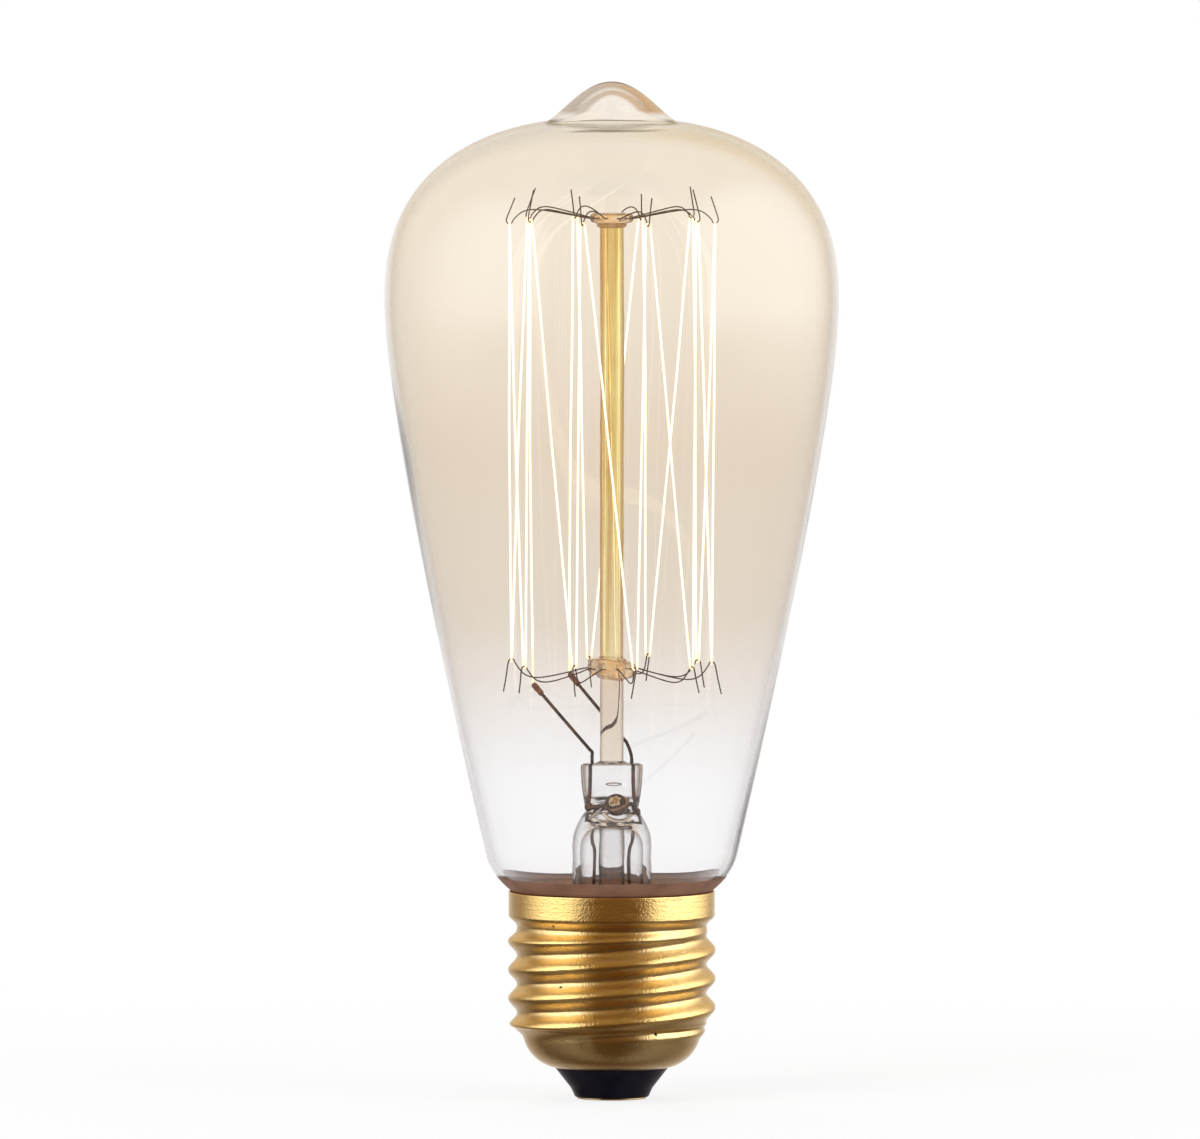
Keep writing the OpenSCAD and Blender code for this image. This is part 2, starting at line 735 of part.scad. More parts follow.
module upper_button() {
    r = upper_button_d / 2;
    h = upper_button_h / 2;
    bevel = button_round * (1 - sqrt(0.5));
    color([0.9, 0.6, 0.35])
        translate([0, 0, upper_button_z])
            difference() {
                rotate_extrude($fn = part_fn)
                    polygon([
                        [0, h], [r - button_round, h], [r - bevel, h - bevel], [r, h - button_round],
                        [r, button_round - h], [r - bevel, bevel - h], [r - button_round, -h],
                        [rod_r + taper_lip, -h - upper_button_taper], [rod_r, -h - upper_button_taper],
                        [rod_r, -rod_top_drop], [0, -rod_top_drop]
                    ]);
                support_seats([for (k = [0:support_count - 1]) upper_az(k)], r);
            }
}

// Azimuths, and the eyes that the filament passes through
function upper_az(k) = upper_first_az + support_step * k;
function lower_az(k) = upper_az(k) - lower_lag;
function lower_place(j) = (free_place + j) % support_count;
function eye(az, k, z) =
    (cage_r + sway(k, eye_sway_out)) * out_at(az + sway(k + 5, eye_sway_az))
    + [0, 0, z + sway(k + 2, eye_sway_z)];
function upper_eye(k) = eye(upper_az(k), k, upper_button_z - upper_eye_drop);
function lower_eye(k) = eye(lower_az(k), k + 20, lower_button_z + lower_eye_rise);

// A support's path: seat, bowed arm, half-round hook under or over the eye, free tail
function support_path(k, az, seat, button_r, centre, arch, turn, lean) =
    let (
        out = unit([centre[0], centre[1], 0]),
        side = [-out[1], out[0], 0],
        reach = norm([centre[0], centre[1]]) - link_r,
        arm_r = button_r + arm_start,
        tail = tail_len + sway(k + 1, tail_sway),
        hook_end = centre + link_r * out,
        tail_end = centre + (lean + sway(k + 4, lean_sway)) * out + sway(k + 7, side_sway) * side
            + [0, 0, turn * tail],
        bend = hook_end + tail_bend * (tail_end - hook_end) + [0, 0, turn * tail_bend_rise]
    )
    concat(
        [(button_r - support_seat) * out_at(az) + [0, 0, seat], arm_r * out_at(az) + [0, 0, seat]],
        [for (f = [0.16, 0.32, 0.48, 0.62, 0.76, 0.88, 1])
            let (r = arm_r + (reach - arm_r) * f, bow = sway(k, arm_sway) * sin(180 * f))
                r * unit(out_at(az) * (1 - f) + out * f) + bow * side
                + [0, 0, seat + arch * sin(180 * pow(f, arch_late)) + (centre[2] - seat) * pow(f, 3)]],
        [for (a = [225, 270, 315]) centre + link_r * (cos(a) * out + [0, 0, turn * sin(a)])],
        [hook_end, bend, tail_end]
    );

module support(path, az) {
    color([0.3, 0.28, 0.26]) flat_wire(path, side_at(az), support_d, thin_sides);
}

module upper_support(k) {
    az = upper_az(k - 1);
    support(
        support_path(k, az, upper_button_z, upper_button_d / 2, upper_eye(k - 1),
            upper_arch, 1, upper_lean),
        az
    );
}

module lower_support(j) {
    k = lower_place(j);
    az = lower_az(k);
    support(
        support_path(j + 30, az, lower_button_z, lower_button_d / 2, lower_eye(k),
            -lower_sag, -1, lower_lean),
        az
    );
}

// The filament's half turn over a hook: up is 1 over an upper hook and -1 under a lower one
function turn_over(centre, up) =
    let (
        out = unit([centre[0], centre[1], 0]),
        side = [-out[1], out[0], 0],
        hook = centre - [0, 0, up * link_r]
    )
        [for (a = [180, 135, 90, 45, 0]) hook + link_r * (cos(a) * side + [0, 0, up * sin(a)])];

module filament() {
    turns = [
        for (i = [0:support_count - 1])
            let (k = (free_place + i) % support_count, next = (k + 1) % support_count)
                each concat(
                    turn_over(upper_eye(k), 1),
                    i < support_count - 1 ? turn_over(lower_eye(next), -1) : []
                )
    ];
    path = concat(
        [crimp_left_tip - crimp_bite * crimp_left_dir, crimp_left_tip + crimp_gap * crimp_left_dir],
        turns,
        [crimp_right_tip + crimp_gap * crimp_right_dir, crimp_right_tip - crimp_bite * crimp_right_dir]
    );
    color([1, 0.9, 0.6])
        wire(path, [for (p = path) unit([p[0], p[1], 0])], filament_d, thin_sides);
}

module crimp(tip, dir, len) {
    color([0.6, 0.35, 0.2])
        difference() {
            rod_between(tip - len * dir, tip, crimp_d / 2);
            rod_between(tip - (len + 1) * dir, tip - crimp_bite * dir, lead_r);
            rod_between(tip - (crimp_bite + crimp_gap) * dir, tip + dir, filament_r);
        }
}

module crimp_left() {
    crimp(crimp_left_tip, crimp_left_dir, crimp_left_len);
}

module crimp_right() {
    crimp(crimp_right_tip, crimp_right_dir, crimp_right_len);
}

module inner_lead_left() {
    path = [
        [-lead_x, 0, seal_top], [-lead_x, 0, press_z + lead_start], lead_left_bend,
        lead_left_bend + lead_run * crimp_left_dir, crimp_left_tip - crimp_bite * crimp_left_dir
    ];
    color([0.45, 0.35, 0.28])
        flat_wire(path, unit([crimp_left_dir[1], -crimp_left_dir[0], 0]), lead_d, lead_sides);
}

module inner_lead_right() {
    path = concat(
        [[lead_x, 0, seal_top]], lead_right_bends,
        [lead_right_bends[1] + lead_run * crimp_right_dir, crimp_right_tip - crimp_bite * crimp_right_dir]
    );
    color([0.45, 0.35, 0.28])
        flat_wire(path, unit([crimp_right_dir[1], -crimp_right_dir[0], 0]), lead_d, lead_sides);
}

module seal_wire(x) {
    color([0.7, 0.3, 0.2]) rod_between([x, 0, seal_low], [x, 0, seal_top], lead_r);
}

module seal_wire_left() {
    seal_wire(-lead_x);
}

module seal_wire_right() {
    seal_wire(lead_x);
}

// Down the flare tube, out under the seal, up beside the neck, out through the skirt
module outer_lead_left() {
    start = [-lead_x, 0, 0];
    foot = channel_r * out_at(side_solder_az);
    way = unit(foot - start);
    under_z = seal_z - seal_lead_drop;
    turn_z = seal_z - seal_lead_drop / 2;
    path = concat(
        [
            start + [0, 0, seal_low], start + [0, 0, seal_z + seal_lead_run], start + [0, 0, turn_z],
            start + seal_lead_run * way + [0, 0, under_z], foot - seal_lead_run * way + [0, 0, under_z],
            foot + [0, 0, turn_z], foot + [0, 0, seal_z]
        ],
        side_lead_points
    );
    across = [for (p = path) [way[1], -way[0], 0]];
    color([0.72, 0.42, 0.25]) wire(path, across, lead_d, lead_sides);
}

// Down the flare tube, past the exhaust tube's tip and through the rivet
module outer_lead_right() {
    dip_z = fill_z - centre_lead_dip;
    path = [
        [lead_x, 0, seal_low], [lead_x, 0, exhaust_tip_z + seal_lead_run],
        [lead_x - centre_lead_in, 0, exhaust_tip_z - seal_lead_run], [centre_lead_in, 0, dip_z],
        [0, 0, dip_z - seal_lead_run], [0, 0, solder_wire_z]
    ];
    color([0.72, 0.42, 0.25]) flat_wire(path, [0, 1, 0], lead_d, lead_sides);
}

glass_envelope();
cap_shell();
cap_insulator();
centre_contact();
centre_solder();
side_solder();
basing_cement();
glass_stem();
exhaust_tube();
arbor_rod();
lower_button();
upper_button();
filament();
crimp_left();
crimp_right();
inner_lead_left();
inner_lead_right();
seal_wire_left();
seal_wire_right();
outer_lead_left();
outer_lead_right();
for (k = [1:support_count])
    upper_support(k);
for (k = [1:support_count - 1])
    lower_support(k);
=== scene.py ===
# Filament lamp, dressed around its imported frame. Shapes are in millimetres, in the frame's own axes.
import math

import bpy
import numpy as np
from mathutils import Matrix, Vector

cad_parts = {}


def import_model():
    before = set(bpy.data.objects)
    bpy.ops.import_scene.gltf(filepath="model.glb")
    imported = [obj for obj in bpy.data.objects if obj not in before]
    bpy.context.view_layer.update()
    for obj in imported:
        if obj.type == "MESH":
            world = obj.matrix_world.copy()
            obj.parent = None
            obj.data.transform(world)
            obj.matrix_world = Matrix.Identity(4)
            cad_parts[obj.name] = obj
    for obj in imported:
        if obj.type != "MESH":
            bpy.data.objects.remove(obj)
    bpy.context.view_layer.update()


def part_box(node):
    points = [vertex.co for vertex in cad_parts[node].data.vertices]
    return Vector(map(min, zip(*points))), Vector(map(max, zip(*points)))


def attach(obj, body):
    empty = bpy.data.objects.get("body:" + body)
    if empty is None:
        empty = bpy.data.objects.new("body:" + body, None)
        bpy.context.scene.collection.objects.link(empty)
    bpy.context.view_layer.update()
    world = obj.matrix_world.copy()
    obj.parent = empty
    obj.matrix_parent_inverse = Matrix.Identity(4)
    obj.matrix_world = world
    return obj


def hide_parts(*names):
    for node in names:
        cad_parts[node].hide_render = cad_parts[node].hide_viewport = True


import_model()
MM = 0.001
BODY = "root"


def cad(node):
    """Lowest and highest corner of a node, in millimetres."""
    low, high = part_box(node)
    return np.array(low) / MM, np.array(high) / MM


# Sizes that the frame gives
ENVELOPE_LOW, ENVELOPE_HIGH = cad("glass_envelope")
SHELL_LOW, SHELL_HIGH = cad("cap_shell")
ROD_HIGH = cad("arbor_rod")[1]
LOWER_LOW, LOWER_HIGH = cad("lower_button")
UPPER_LOW, UPPER_HIGH = cad("upper_button")
EXHAUST_LOW, EXHAUST_HIGH = cad("exhaust_tube")
SEAL_WIRE_LOW, SEAL_WIRE_HIGH = cad("seal_wire_right")
CAP_H = SHELL_HIGH[2]
BULB_R = min(ENVELOPE_HIGH[0], -ENVELOPE_LOW[0], ENVELOPE_HIGH[1])
TOP_Z = ENVELOPE_HIGH[2]
SEAL_Z = ENVELOPE_LOW[2]
PRESS_Z = cad("glass_stem")[1][2]
ROD_R = ROD_HIGH[0]
LOWER_R = LOWER_HIGH[0]
LOWER_Z = (LOWER_LOW[2] + LOWER_HIGH[2]) / 2
UPPER_R = UPPER_HIGH[0]
UPPER_H = 1.3
UPPER_Z = UPPER_HIGH[2] - UPPER_H / 2
LEAD_X = (SEAL_WIRE_LOW[0] + SEAL_WIRE_HIGH[0]) / 2
LEAD_R = (SEAL_WIRE_HIGH[0] - SEAL_WIRE_LOW[0]) / 2

# Cap
THREAD_R = 13.13
THREAD_DEPTH = 1.13
THREAD_PITCH = 3.629
CREST_DROP = 7.83
THREAD_LEAN = 0.35
SHEET_T = 0.3
SHELL_SIDES = 180
RIM_ROLL = 0.08
SKIRT_R = 13.04
SKIRT_Z = CAP_H - 3
SKIRT_NECK_H = 1.4
ROOT_R = THREAD_R - THREAD_DEPTH
BOWL_R = 5
BOWL_STEP = 0.7
BOWL_CR = ROOT_R - BOWL_STEP - BOWL_R
INSULATOR_R = 7.2
INSULATOR_TIP_R = 4.65
INSULATOR_TIP_Z = 0.35
CONTACT_R = 4.4
PLATE_LOW = 0.15
PLATE_HIGH = 0.5
RIVET_R = 1.3
RIVET_BORE_R = 0.8
RIVET_TOP = cad("centre_contact")[1][2]
BOWL_EDGE = math.asin((INSULATOR_R - BOWL_CR) / BOWL_R)
BOWL_Z = SHELL_LOW[2] + BOWL_R * math.cos(BOWL_EDGE)

# Envelope
BELLY_Z = CAP_H + 74.6
TIP_R = 8.2
TIP_H = 4.5
TIP_Z = TOP_Z - TIP_H
CROWN_RISE = TIP_Z - BELLY_Z
CROWN_POWER = 2.4
TINT_LOW = 30
TINT_HIGH = 130
GLASS_WALL = 0.8
TIP_WALL = 1.2
FILM_LOW = CAP_H - 0.15
FILM_BACK = CAP_H + 0.45
FILM_SIDE = CAP_H + 1.9
FILM_FRONT = CAP_H + 1.8
FILM_R = 13.3
SHOULDER = np.array([15.85, CAP_H + 4.6])
SHOULDER_DIR = np.array([0.2365, 1.0])
NECK_R = 11.0
NECK_Z = CAP_H - 1.2
NECK_STEPS = 28

# Stem
TUBE_R = 4.95
TUBE_WALL = 1.0
DOME_Z = PRESS_Z - 6.2
DOME_H = 3.9
DOME_TOP_R = TUBE_R - 1.45
DOME_POWER = 1.1
PRESS_R = 3.95
PRESS_T = 2.1
PRESS_LIP = 0.4
FLARE_H = 9.0
SEAL_BAND = 0.8
KNOT = np.array([0.7, -2.85, DOME_Z + 1.15])
KNOT_SIZE = np.array([1.5, 1.05, 1.42])

# The middle of the knot's coloured rings, and how close they lie across and up
KNOT_EYE = KNOT + np.array([-0.25, 0, 0.55])
KNOT_RINGS = (300.0, 0.0, 430.0)

# Filament and supports
COUNT = 10
FREE_PLACE = 4
CAGE_R = 12.9
SUPPORT_R = 0.085
FILAMENT_R = 0.13
LINK_R = 0.3
HOOK_R = 0.42
TAIL_LEN = 3.4
UPPER_EYE_Z = UPPER_Z - 0.15
LOWER_EYE_Z = LOWER_Z + 0.6
UPPER_ARCH = 1.2
UPPER_LEAN = -0.5
LOWER_ARCH = -1.5
LOWER_LEAN = 0.9
UPPER_FIRST_AZ = 2
LOWER_LAG = 6
SEAT = 1


def smooth(t):
    s = np.clip(t, 0.0, 1.0)
    return s * s * (3 - 2 * s)


def unit(v):
    v = np.asarray(v, float)
    return v / np.linalg.norm(v)


def cosd(angle):
    return np.cos(np.radians(angle))


def sind(angle):
    return np.sin(np.radians(angle))


def out_at(az):
    return np.array([cosd(az), sind(az), 0.0])


def side_at(az):
    return np.array([-sind(az), cosd(az), 0.0])


def up(z):
    return np.array([0.0, 0.0, z])


def bezier(points, steps):
    t = np.linspace(0, 1, steps + 1)[1:, None]
    a, b, c, d = np.array(points, float)
    return (1 - t) ** 3 * a + 3 * (1 - t) ** 2 * t * b + 3 * (1 - t) * t * t * c + t**3 * d


def soften(outline, radius):
    """A closed outline with each corner turned into a small curve."""
    made = []
    n = len(outline)
    for i in range(n):
        before, here, after = (np.array(outline[k % n], float) for k in (i - 1, i, i + 1))
        ways = (before - here, after - here)
        a, b = (here + way * min(0.45, radius / np.linalg.norm(way)) for way in ways)
        for t in np.linspace(0, 1, 4):
            made.append((1 - t) ** 2 * a + 2 * (1 - t) * t * here + t * t * b)
    return np.array(made)


def between(t, low, high, a, b):
    """The point at t on the line from a, at low, to b, at high."""
    return (high - t) / (high - low) * a + (t - low) / (high - low) * b


def rounded(points, per):
    """Points on a smooth curve through the given ones, per for each stretch."""
    p = np.array(points, float)
    p = np.vstack([2 * p[0] - p[1], p, 2 * p[-1] - p[-2]])
    made = []
    for i in range(len(p) - 3):
        four = p[i : i + 4]
        steps = [max(np.linalg.norm(step), 1e-9) ** 0.5 for step in np.diff(four, axis=0)]
        at = np.cumsum([0.0, *steps])
        for t in np.linspace(at[1], at[2], per, endpoint=False):
            three = [between(t, at[j], at[j + 1], four[j], four[j + 1]) for j in range(3)]
            two = [between(t, at[j], at[j + 2], three[j], three[j + 1]) for j in range(2)]
            made.append(between(t, at[1], at[2], *two))
    made.append(p[-2])
    return np.array(made)


def normals(tangents):
    """Unit normals of an outline, to the right of its way."""
    turned = np.stack([tangents[:, 1], -tangents[:, 0]], 1)
    return turned / np.linalg.norm(tangents, axis=1)[:, None]


# Meshes
SHARP = math.radians(50)
SIDES = 144
SMALL_SIDES = 96


def skin(rings, loop=False, start=None, end=None):
    """Points and faces over a row of rings. start and end are the points that close its ends."""
    rings = np.asarray(rings, float)
    n, m = rings.shape[:2]
    points = rings.reshape(-1, 3)
    j = np.arange(m)
    k = (j + 1) % m
    faces = []
    for i in range(n if loop else n - 1):
        a = i * m
        b = (i + 1) % n * m
        faces += np.stack([a + j, a + k, b + k, b + j], 1).tolist()
    for point, ring, turned in ((start, 0, True), (end, (n - 1) * m, False)):
        if point is not None:
            points = np.vstack([points, point])
            tip = np.full(m, len(points) - 1)
            ends = (ring + k, ring + j) if turned else (ring + j, ring + k)
            faces += np.stack([tip, *ends], 1).tolist()
    return points, faces


def joined(*shapes):
    """Several shapes as one."""
    points, faces = [], []
    for more, their in shapes:
        faces += [[v + len(points) for v in face] for face in their]
        points += list(more)
    return np.array(points), faces


def ring_at(r, z, az):
    return np.stack([r * np.cos(az), r * np.sin(az), np.broadcast_to(z, az.shape)], 1)


def azimuths(sides):
    return np.arange(sides) * 2 * np.pi / sides


def revolve(outline, sides, shape=None):
    """A solid of revolution, a loop unless both its ends lie on the axis. shape may bend its rings."""
    az = azimuths(sides)
    outline = np.asarray(outline, float)
    poles = outline[0][0] < 1e-6 and outline[-1][0] < 1e-6
    rows = outline[1:-1] if poles else outline
    rings = []
    for r, z in rows:
        radii, heights = shape(r, z, az) if shape else (r, z)
        rings.append(ring_at(radii, heights, az))
    if poles:
        return skin(rings, start=up(outline[0][1]), end=up(outline[-1][1]))
    return skin(rings, loop=True)


def sweep(path, radius, sides, flat=None):
    """A closed tube along a path. flat holds each ring's height as a share of its width."""
    path = np.asarray(path, float)
    n = len(path)
    radius = np.broadcast_to(radius, n)
    flat = np.ones(n) if flat is None else flat
    tangent = np.gradient(path, axis=0)
    tangent /= np.linalg.norm(tangent, axis=1)[:, None]
    first = np.array([0.31, 0.27, 0.91])
    u = unit(first - first @ tangent[0] * tangent[0])
    a = azimuths(sides)[:, None]
    rings = []
    for i in range(n):
        u = unit(u - u @ tangent[i] * tangent[i])
        v = np.cross(tangent[i], u)
        rings.append(path[i] + radius[i] * (np.cos(a) * u + flat[i] * np.sin(a) * v))
    return skin(rings, start=path[0], end=path[-1])


def ball(centre, radii, sides):
    """A closed ellipsoid."""
    half = [(math.sin(a), -math.cos(a)) for a in np.linspace(0, math.pi, sides // 2 + 1)]
    half[0], half[-1] = (0, -1), (0, 1)
    points, faces = revolve(half, sides)
    return np.array(centre) + points * np.array(radii), faces


def placed(name, data):
    """A new object in the scene."""
    made = bpy.data.objects.new(name, data)
    bpy.context.scene.collection.objects.link(made)
    return made


def piece(name, shape, finish, stands_for):
    """A piece of the lamp from its points and faces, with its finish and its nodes."""
    points, faces = shape
    mesh = bpy.data.meshes.new(name)
    mesh.from_pydata((points * MM).tolist(), [], faces)
    mesh.polygons.foreach_set("use_smooth", [True] * len(faces))
    mesh.set_sharp_from_angle(angle=SHARP)
    mesh.materials.append(finish)
    made = placed(name, mesh)
    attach(made, BODY)
    if stands_for:
        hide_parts(*stands_for)


# Nodes
GLASS_IOR = 1.47


class Tree:
    """Short calls for building the nodes of a material or world."""

    def __init__(self, owner):
        owner.use_nodes = True
        self.owner = owner
        self.tree = owner.node_tree
        self.tree.nodes.clear()

    def add(self, kind, inputs=None, **settings):
        made = self.tree.nodes.new(kind)
        for name, value in settings.items():
            setattr(made, name, value)
        for name, value in (inputs or {}).items():
            socket = made.inputs[name]
            if isinstance(value, bpy.types.NodeSocket):
                self.tree.links.new(value, socket)
            else:
                socket.default_value = value
        return made

    def math(self, operation, *values):
        return self.add("ShaderNodeMath", dict(enumerate(values)), operation=operation).outputs[0]

    def plus(self, a, b):
        return self.math("ADD", a, b)

    def less(self, a, b):
        return self.math("SUBTRACT", a, b)

    def times(self, a, b):
        return self.math("MULTIPLY", a, b)

    def ramp(self, value, *stops):
        """Colours along a value: each stop is a place and a colour."""
        made = self.add("ShaderNodeValToRGB", {"Fac": value})
        band = made.color_ramp
        while len(band.elements) < len(stops):
            band.elements.new(0.5)
        for element, (place, colour) in zip(band.elements, stops):
            element.position = place
            element.color = (*colour, 1)
        return made.outputs["Color"]

    def span(self, value, low, high, to_low=0.0, to_high=1.0, kind="LINEAR"):
        """A value from low to high turned into one from to_low to to_high."""
        inputs = {"Value": value, "From Min": low, "From Max": high, "To Min": to_low, "To Max": to_high}
        return self.add("ShaderNodeMapRange", inputs, interpolation_type=kind).outputs["Result"]

    def fade(self, value, low, high, to_low=0.0, to_high=1.0):
        return self.span(value, low, high, to_low, to_high, "SMOOTHSTEP")

    def mix(self, share, a, b):
        """A mix of two colours, each plain or from a socket."""
        a, b = (v if isinstance(v, bpy.types.NodeSocket) else (*v, 1) for v in (a, b))
        return self.add("ShaderNodeMix", {0: share, 6: a, 7: b}, data_type="RGBA").outputs[2]

    def noise(self, where, scale, detail=3.0, rough=0.55):
        inputs = {"Vector": where, "Scale": scale, "Detail": detail, "Roughness": rough}
        return self.add("ShaderNodeTexNoise", inputs).outputs["Fac"]

    def bump(self, height, strength, distance):
        made = self.add("ShaderNodeBump", {"Height": height, "Strength": strength, "Distance": distance})
        return made.outputs["Normal"]

    def facing(self, blend=0.5):
        """0 where the surface faces the ray, 1 where it is seen edge on."""
        return self.add("ShaderNodeLayerWeight", {"Blend": blend}).outputs["Facing"]

    def place(self):
        return self.add("ShaderNodeTexCoord").outputs["Object"]

    def axes(self, where):
        return self.add("ShaderNodeSeparateXYZ", {0: where}).outputs

    def radius(self, where):
        """Distance from the lamp's axis."""
        x, y, _ = self.axes(where)
        return self.math("SQRT", self.plus(self.times(x, x), self.times(y, y)))

    def stretched(self, where, scale):
        return self.add("ShaderNodeMapping", {"Vector": where, "Scale": scale}).outputs["Vector"]

    def principled(self, **inputs):
        names = {name.replace("_", " "): value for name, value in inputs.items()}
        return self.add("ShaderNodeBsdfPrincipled", names).outputs[0]

    def out(self, surface):
        self.add("ShaderNodeOutputMaterial", {"Surface": surface})
        return self.owner

    def surface(self, colour, rough, **inputs):
        """A finish without glass in it."""
        return self.out(self.principled(Base_Color=colour, Roughness=rough, **inputs))

    def glass(self, tint, colour, rough=0.0, ior=GLASS_IOR, clear=1.0, **inputs):
        """A finish of glass, through which the lamps' own light passes with a tint."""
        body = self.principled(
            Base_Color=colour, Roughness=rough, IOR=ior, Transmission_Weight=clear, **inputs
        )
        shadow = self.add("ShaderNodeLightPath").outputs["Is Shadow Ray"]
        free = self.add("ShaderNodeBsdfTransparent", {"Color": (*tint, 1)}).outputs[0]
        return self.out(self.add("ShaderNodeMixShader", {0: shadow, 1: body, 2: free}).outputs[0])


def material(name):
    """The nodes of a new material, and the place on its piece."""
    t = Tree(bpy.data.materials.new(name))
    return t, t.place()


# Finishes
PALE = (0.9, 0.9, 0.9)


def amber_glass():
    """Coated amber above, fading to clear at the neck, with painted edge shade where it is seen edge on:
    tinted like the coating, and at the crown and tip warmer on the +x side, greyer on the -x side.
    """
    t, where = material("amber_glass")
    x, _, z = t.axes(where)
    patch = t.noise(where, 60, 2.0)
    height = t.plus(z, t.times(t.less(patch, 0.5), 0.006))
    level = t.span(height, TINT_LOW * MM, TINT_HIGH * MM)
    face = t.ramp(
        level, (0.1, (0.985, 0.982, 0.99)), (0.2, (0.94, 0.915, 0.895)), (0.31, (0.885, 0.83, 0.765)),
        (0.52, (0.89, 0.825, 0.735)), (0.72, (0.95, 0.89, 0.805)), (0.9, (0.97, 0.92, 0.84)),
        (0.95, (0.985, 0.95, 0.9)),
    )
    # Painted edge shade along the belly: grey low down, amber higher up, like the coating
    belly_edge_shade = t.ramp(
        level, (0.1, (0.6, 0.58, 0.6)), (0.45, (0.74, 0.66, 0.57)), (0.85, (0.74, 0.6, 0.42)),
    )
    # Painted edge shade at the crown and tip: warmer on the +x side, greyer on the -x side
    crown_edge_shade = t.mix(t.fade(x, -0.009, 0.009), (0.8, 0.75, 0.67), (0.8, 0.68, 0.49))
    tip_edge_shade = t.mix(t.fade(x, -0.004, 0.004), (0.32, 0.24, 0.19), (0.42, 0.18, 0.055))
    crown = t.fade(z, (BELLY_Z + 6) * MM, (BELLY_Z + 16) * MM)
    tip = t.span(z, (TIP_Z + 0.1) * MM, (TIP_Z + 0.9) * MM)
    # rim is the painted edge shade; share is where it shows, less at the foot of the tip
    rim = t.mix(tip, t.mix(crown, belly_edge_shade, crown_edge_shade), tip_edge_shade)
    starts = t.less(t.span(crown, 0.0, 1.0, 0.55, 0.61), t.times(tip, 0.17))
    ends = t.less(t.span(crown, 0.0, 1.0, 1.02, 0.75), t.times(tip, 0.19))
    edge = t.math("DIVIDE", t.less(t.facing(), starts), t.less(ends, starts))
    near_tip = t.span(t.radius(where), (TIP_R + 3.3) * MM, (TIP_R + 0.8) * MM)
    foot = t.times(near_tip, t.span(tip, 0.0, 0.6, 0.75, 0.0))
    share = t.times(t.fade(edge, 0.0, 1.0), t.less(1.0, foot))
    return t.glass((0.93, 0.87, 0.78), t.mix(share, face, rim))


def clear_glass(name, face, rim, seeds=0.0, tint=PALE, ior=GLASS_IOR, edges=(0.28, 0.82), pressed=None):
    """Clear glass with painted shade at its edges: rim is the shade's colour where it is seen edge on, face
    its colour face on. seeds adds faint clouds, pressed is the painted edge shade above the dome.
    """
    t, where = material(name)
    edge = t.facing()
    cloud = t.noise(where, 400)
    # Painted edge shade: rim where the glass is seen edge on
    share = t.fade(edge, *edges)
    if pressed:
        # Painted shade on the press's edges above the dome, in the pressed colour
        press = t.span(t.axes(where)[2], (DOME_Z - 0.5) * MM, (DOME_Z + 1) * MM)
        pressed_shade_share = t.fade(edge, 0.03, 0.35)
        share = t.plus(t.times(share, t.less(1.0, press)), t.times(pressed_shade_share, press))
        rim = t.mix(press, rim, pressed)
    share = t.plus(share, t.times(cloud, seeds))
    colour = t.mix(share, face, rim)
    wave = t.noise(t.stretched(where, (1, 1, 0.3)), 500, 2.0)
    return t.glass(tint, colour, ior=ior, Normal=t.bump(wave, 0.12, 0.0004))


def rod_glass():
    """Glass cane: painted gold streaks of the filament's glow between the buttons, plain grey below them,
    with painted shade on its edges.
    """
    t, where = material("rod_glass")
    z = t.axes(where)[2]
    streak = t.noise(t.stretched(where, (1, 1, 0.02)), 1500, 2.0)
    # Painted glow: gold streaks standing in for the filament's light in the cane
    painted_glow = t.ramp(
        streak, (0.4, (0.66, 0.42, 0.12)), (0.47, (0.9, 0.74, 0.3)), (0.52, (0.98, 0.94, 0.42)),
        (0.6, (0.95, 0.86, 0.64)),
    )
    lit = t.fade(z, (LOWER_Z - 1) * MM, (LOWER_Z + 1) * MM)
    # Painted edge shade: darker where the cane is seen edge on, grey below the buttons, brown where it glows
    edge = t.facing()
    grey = t.mix(t.fade(edge, 0.22, 0.68), (0.86, 0.76, 0.65), (0.22, 0.13, 0.08))
    rim = t.mix(t.fade(edge, 0.16, 0.55), painted_glow, (0.38, 0.17, 0.04))
    return t.glass((0.9, 0.8, 0.6), t.mix(lit, grey, rim), 0.02, Normal=t.bump(streak, 0.15, 0.0003))


def button_glass():
    """Tan glass bead, cloudy, with painted browner shade on its rims where it is seen edge on."""
    t, where = material("button_glass")
    cloud = t.noise(where, 700, 4.0)
    swirl = t.noise(t.stretched(where, (1, 1, 2.5)), 900, 3.0, 0.6)
    speck = t.plus(t.times(cloud, 0.5), t.times(swirl, 0.5))
    body = t.ramp(speck, (0.42, (0.92, 0.6, 0.32)), (0.5, (1.0, 0.82, 0.57)), (0.58, (1.0, 0.95, 0.82)))
    # Painted edge shade: browner where the bead is seen edge on
    colour = t.mix(t.fade(t.facing(0.45), 0.3, 0.85), body, (0.32, 0.12, 0.03))
    return t.glass((0.8, 0.6, 0.4), colour, 0.05, 1.3, 0.85, Normal=t.bump(speck, 0.5, 0.0003))


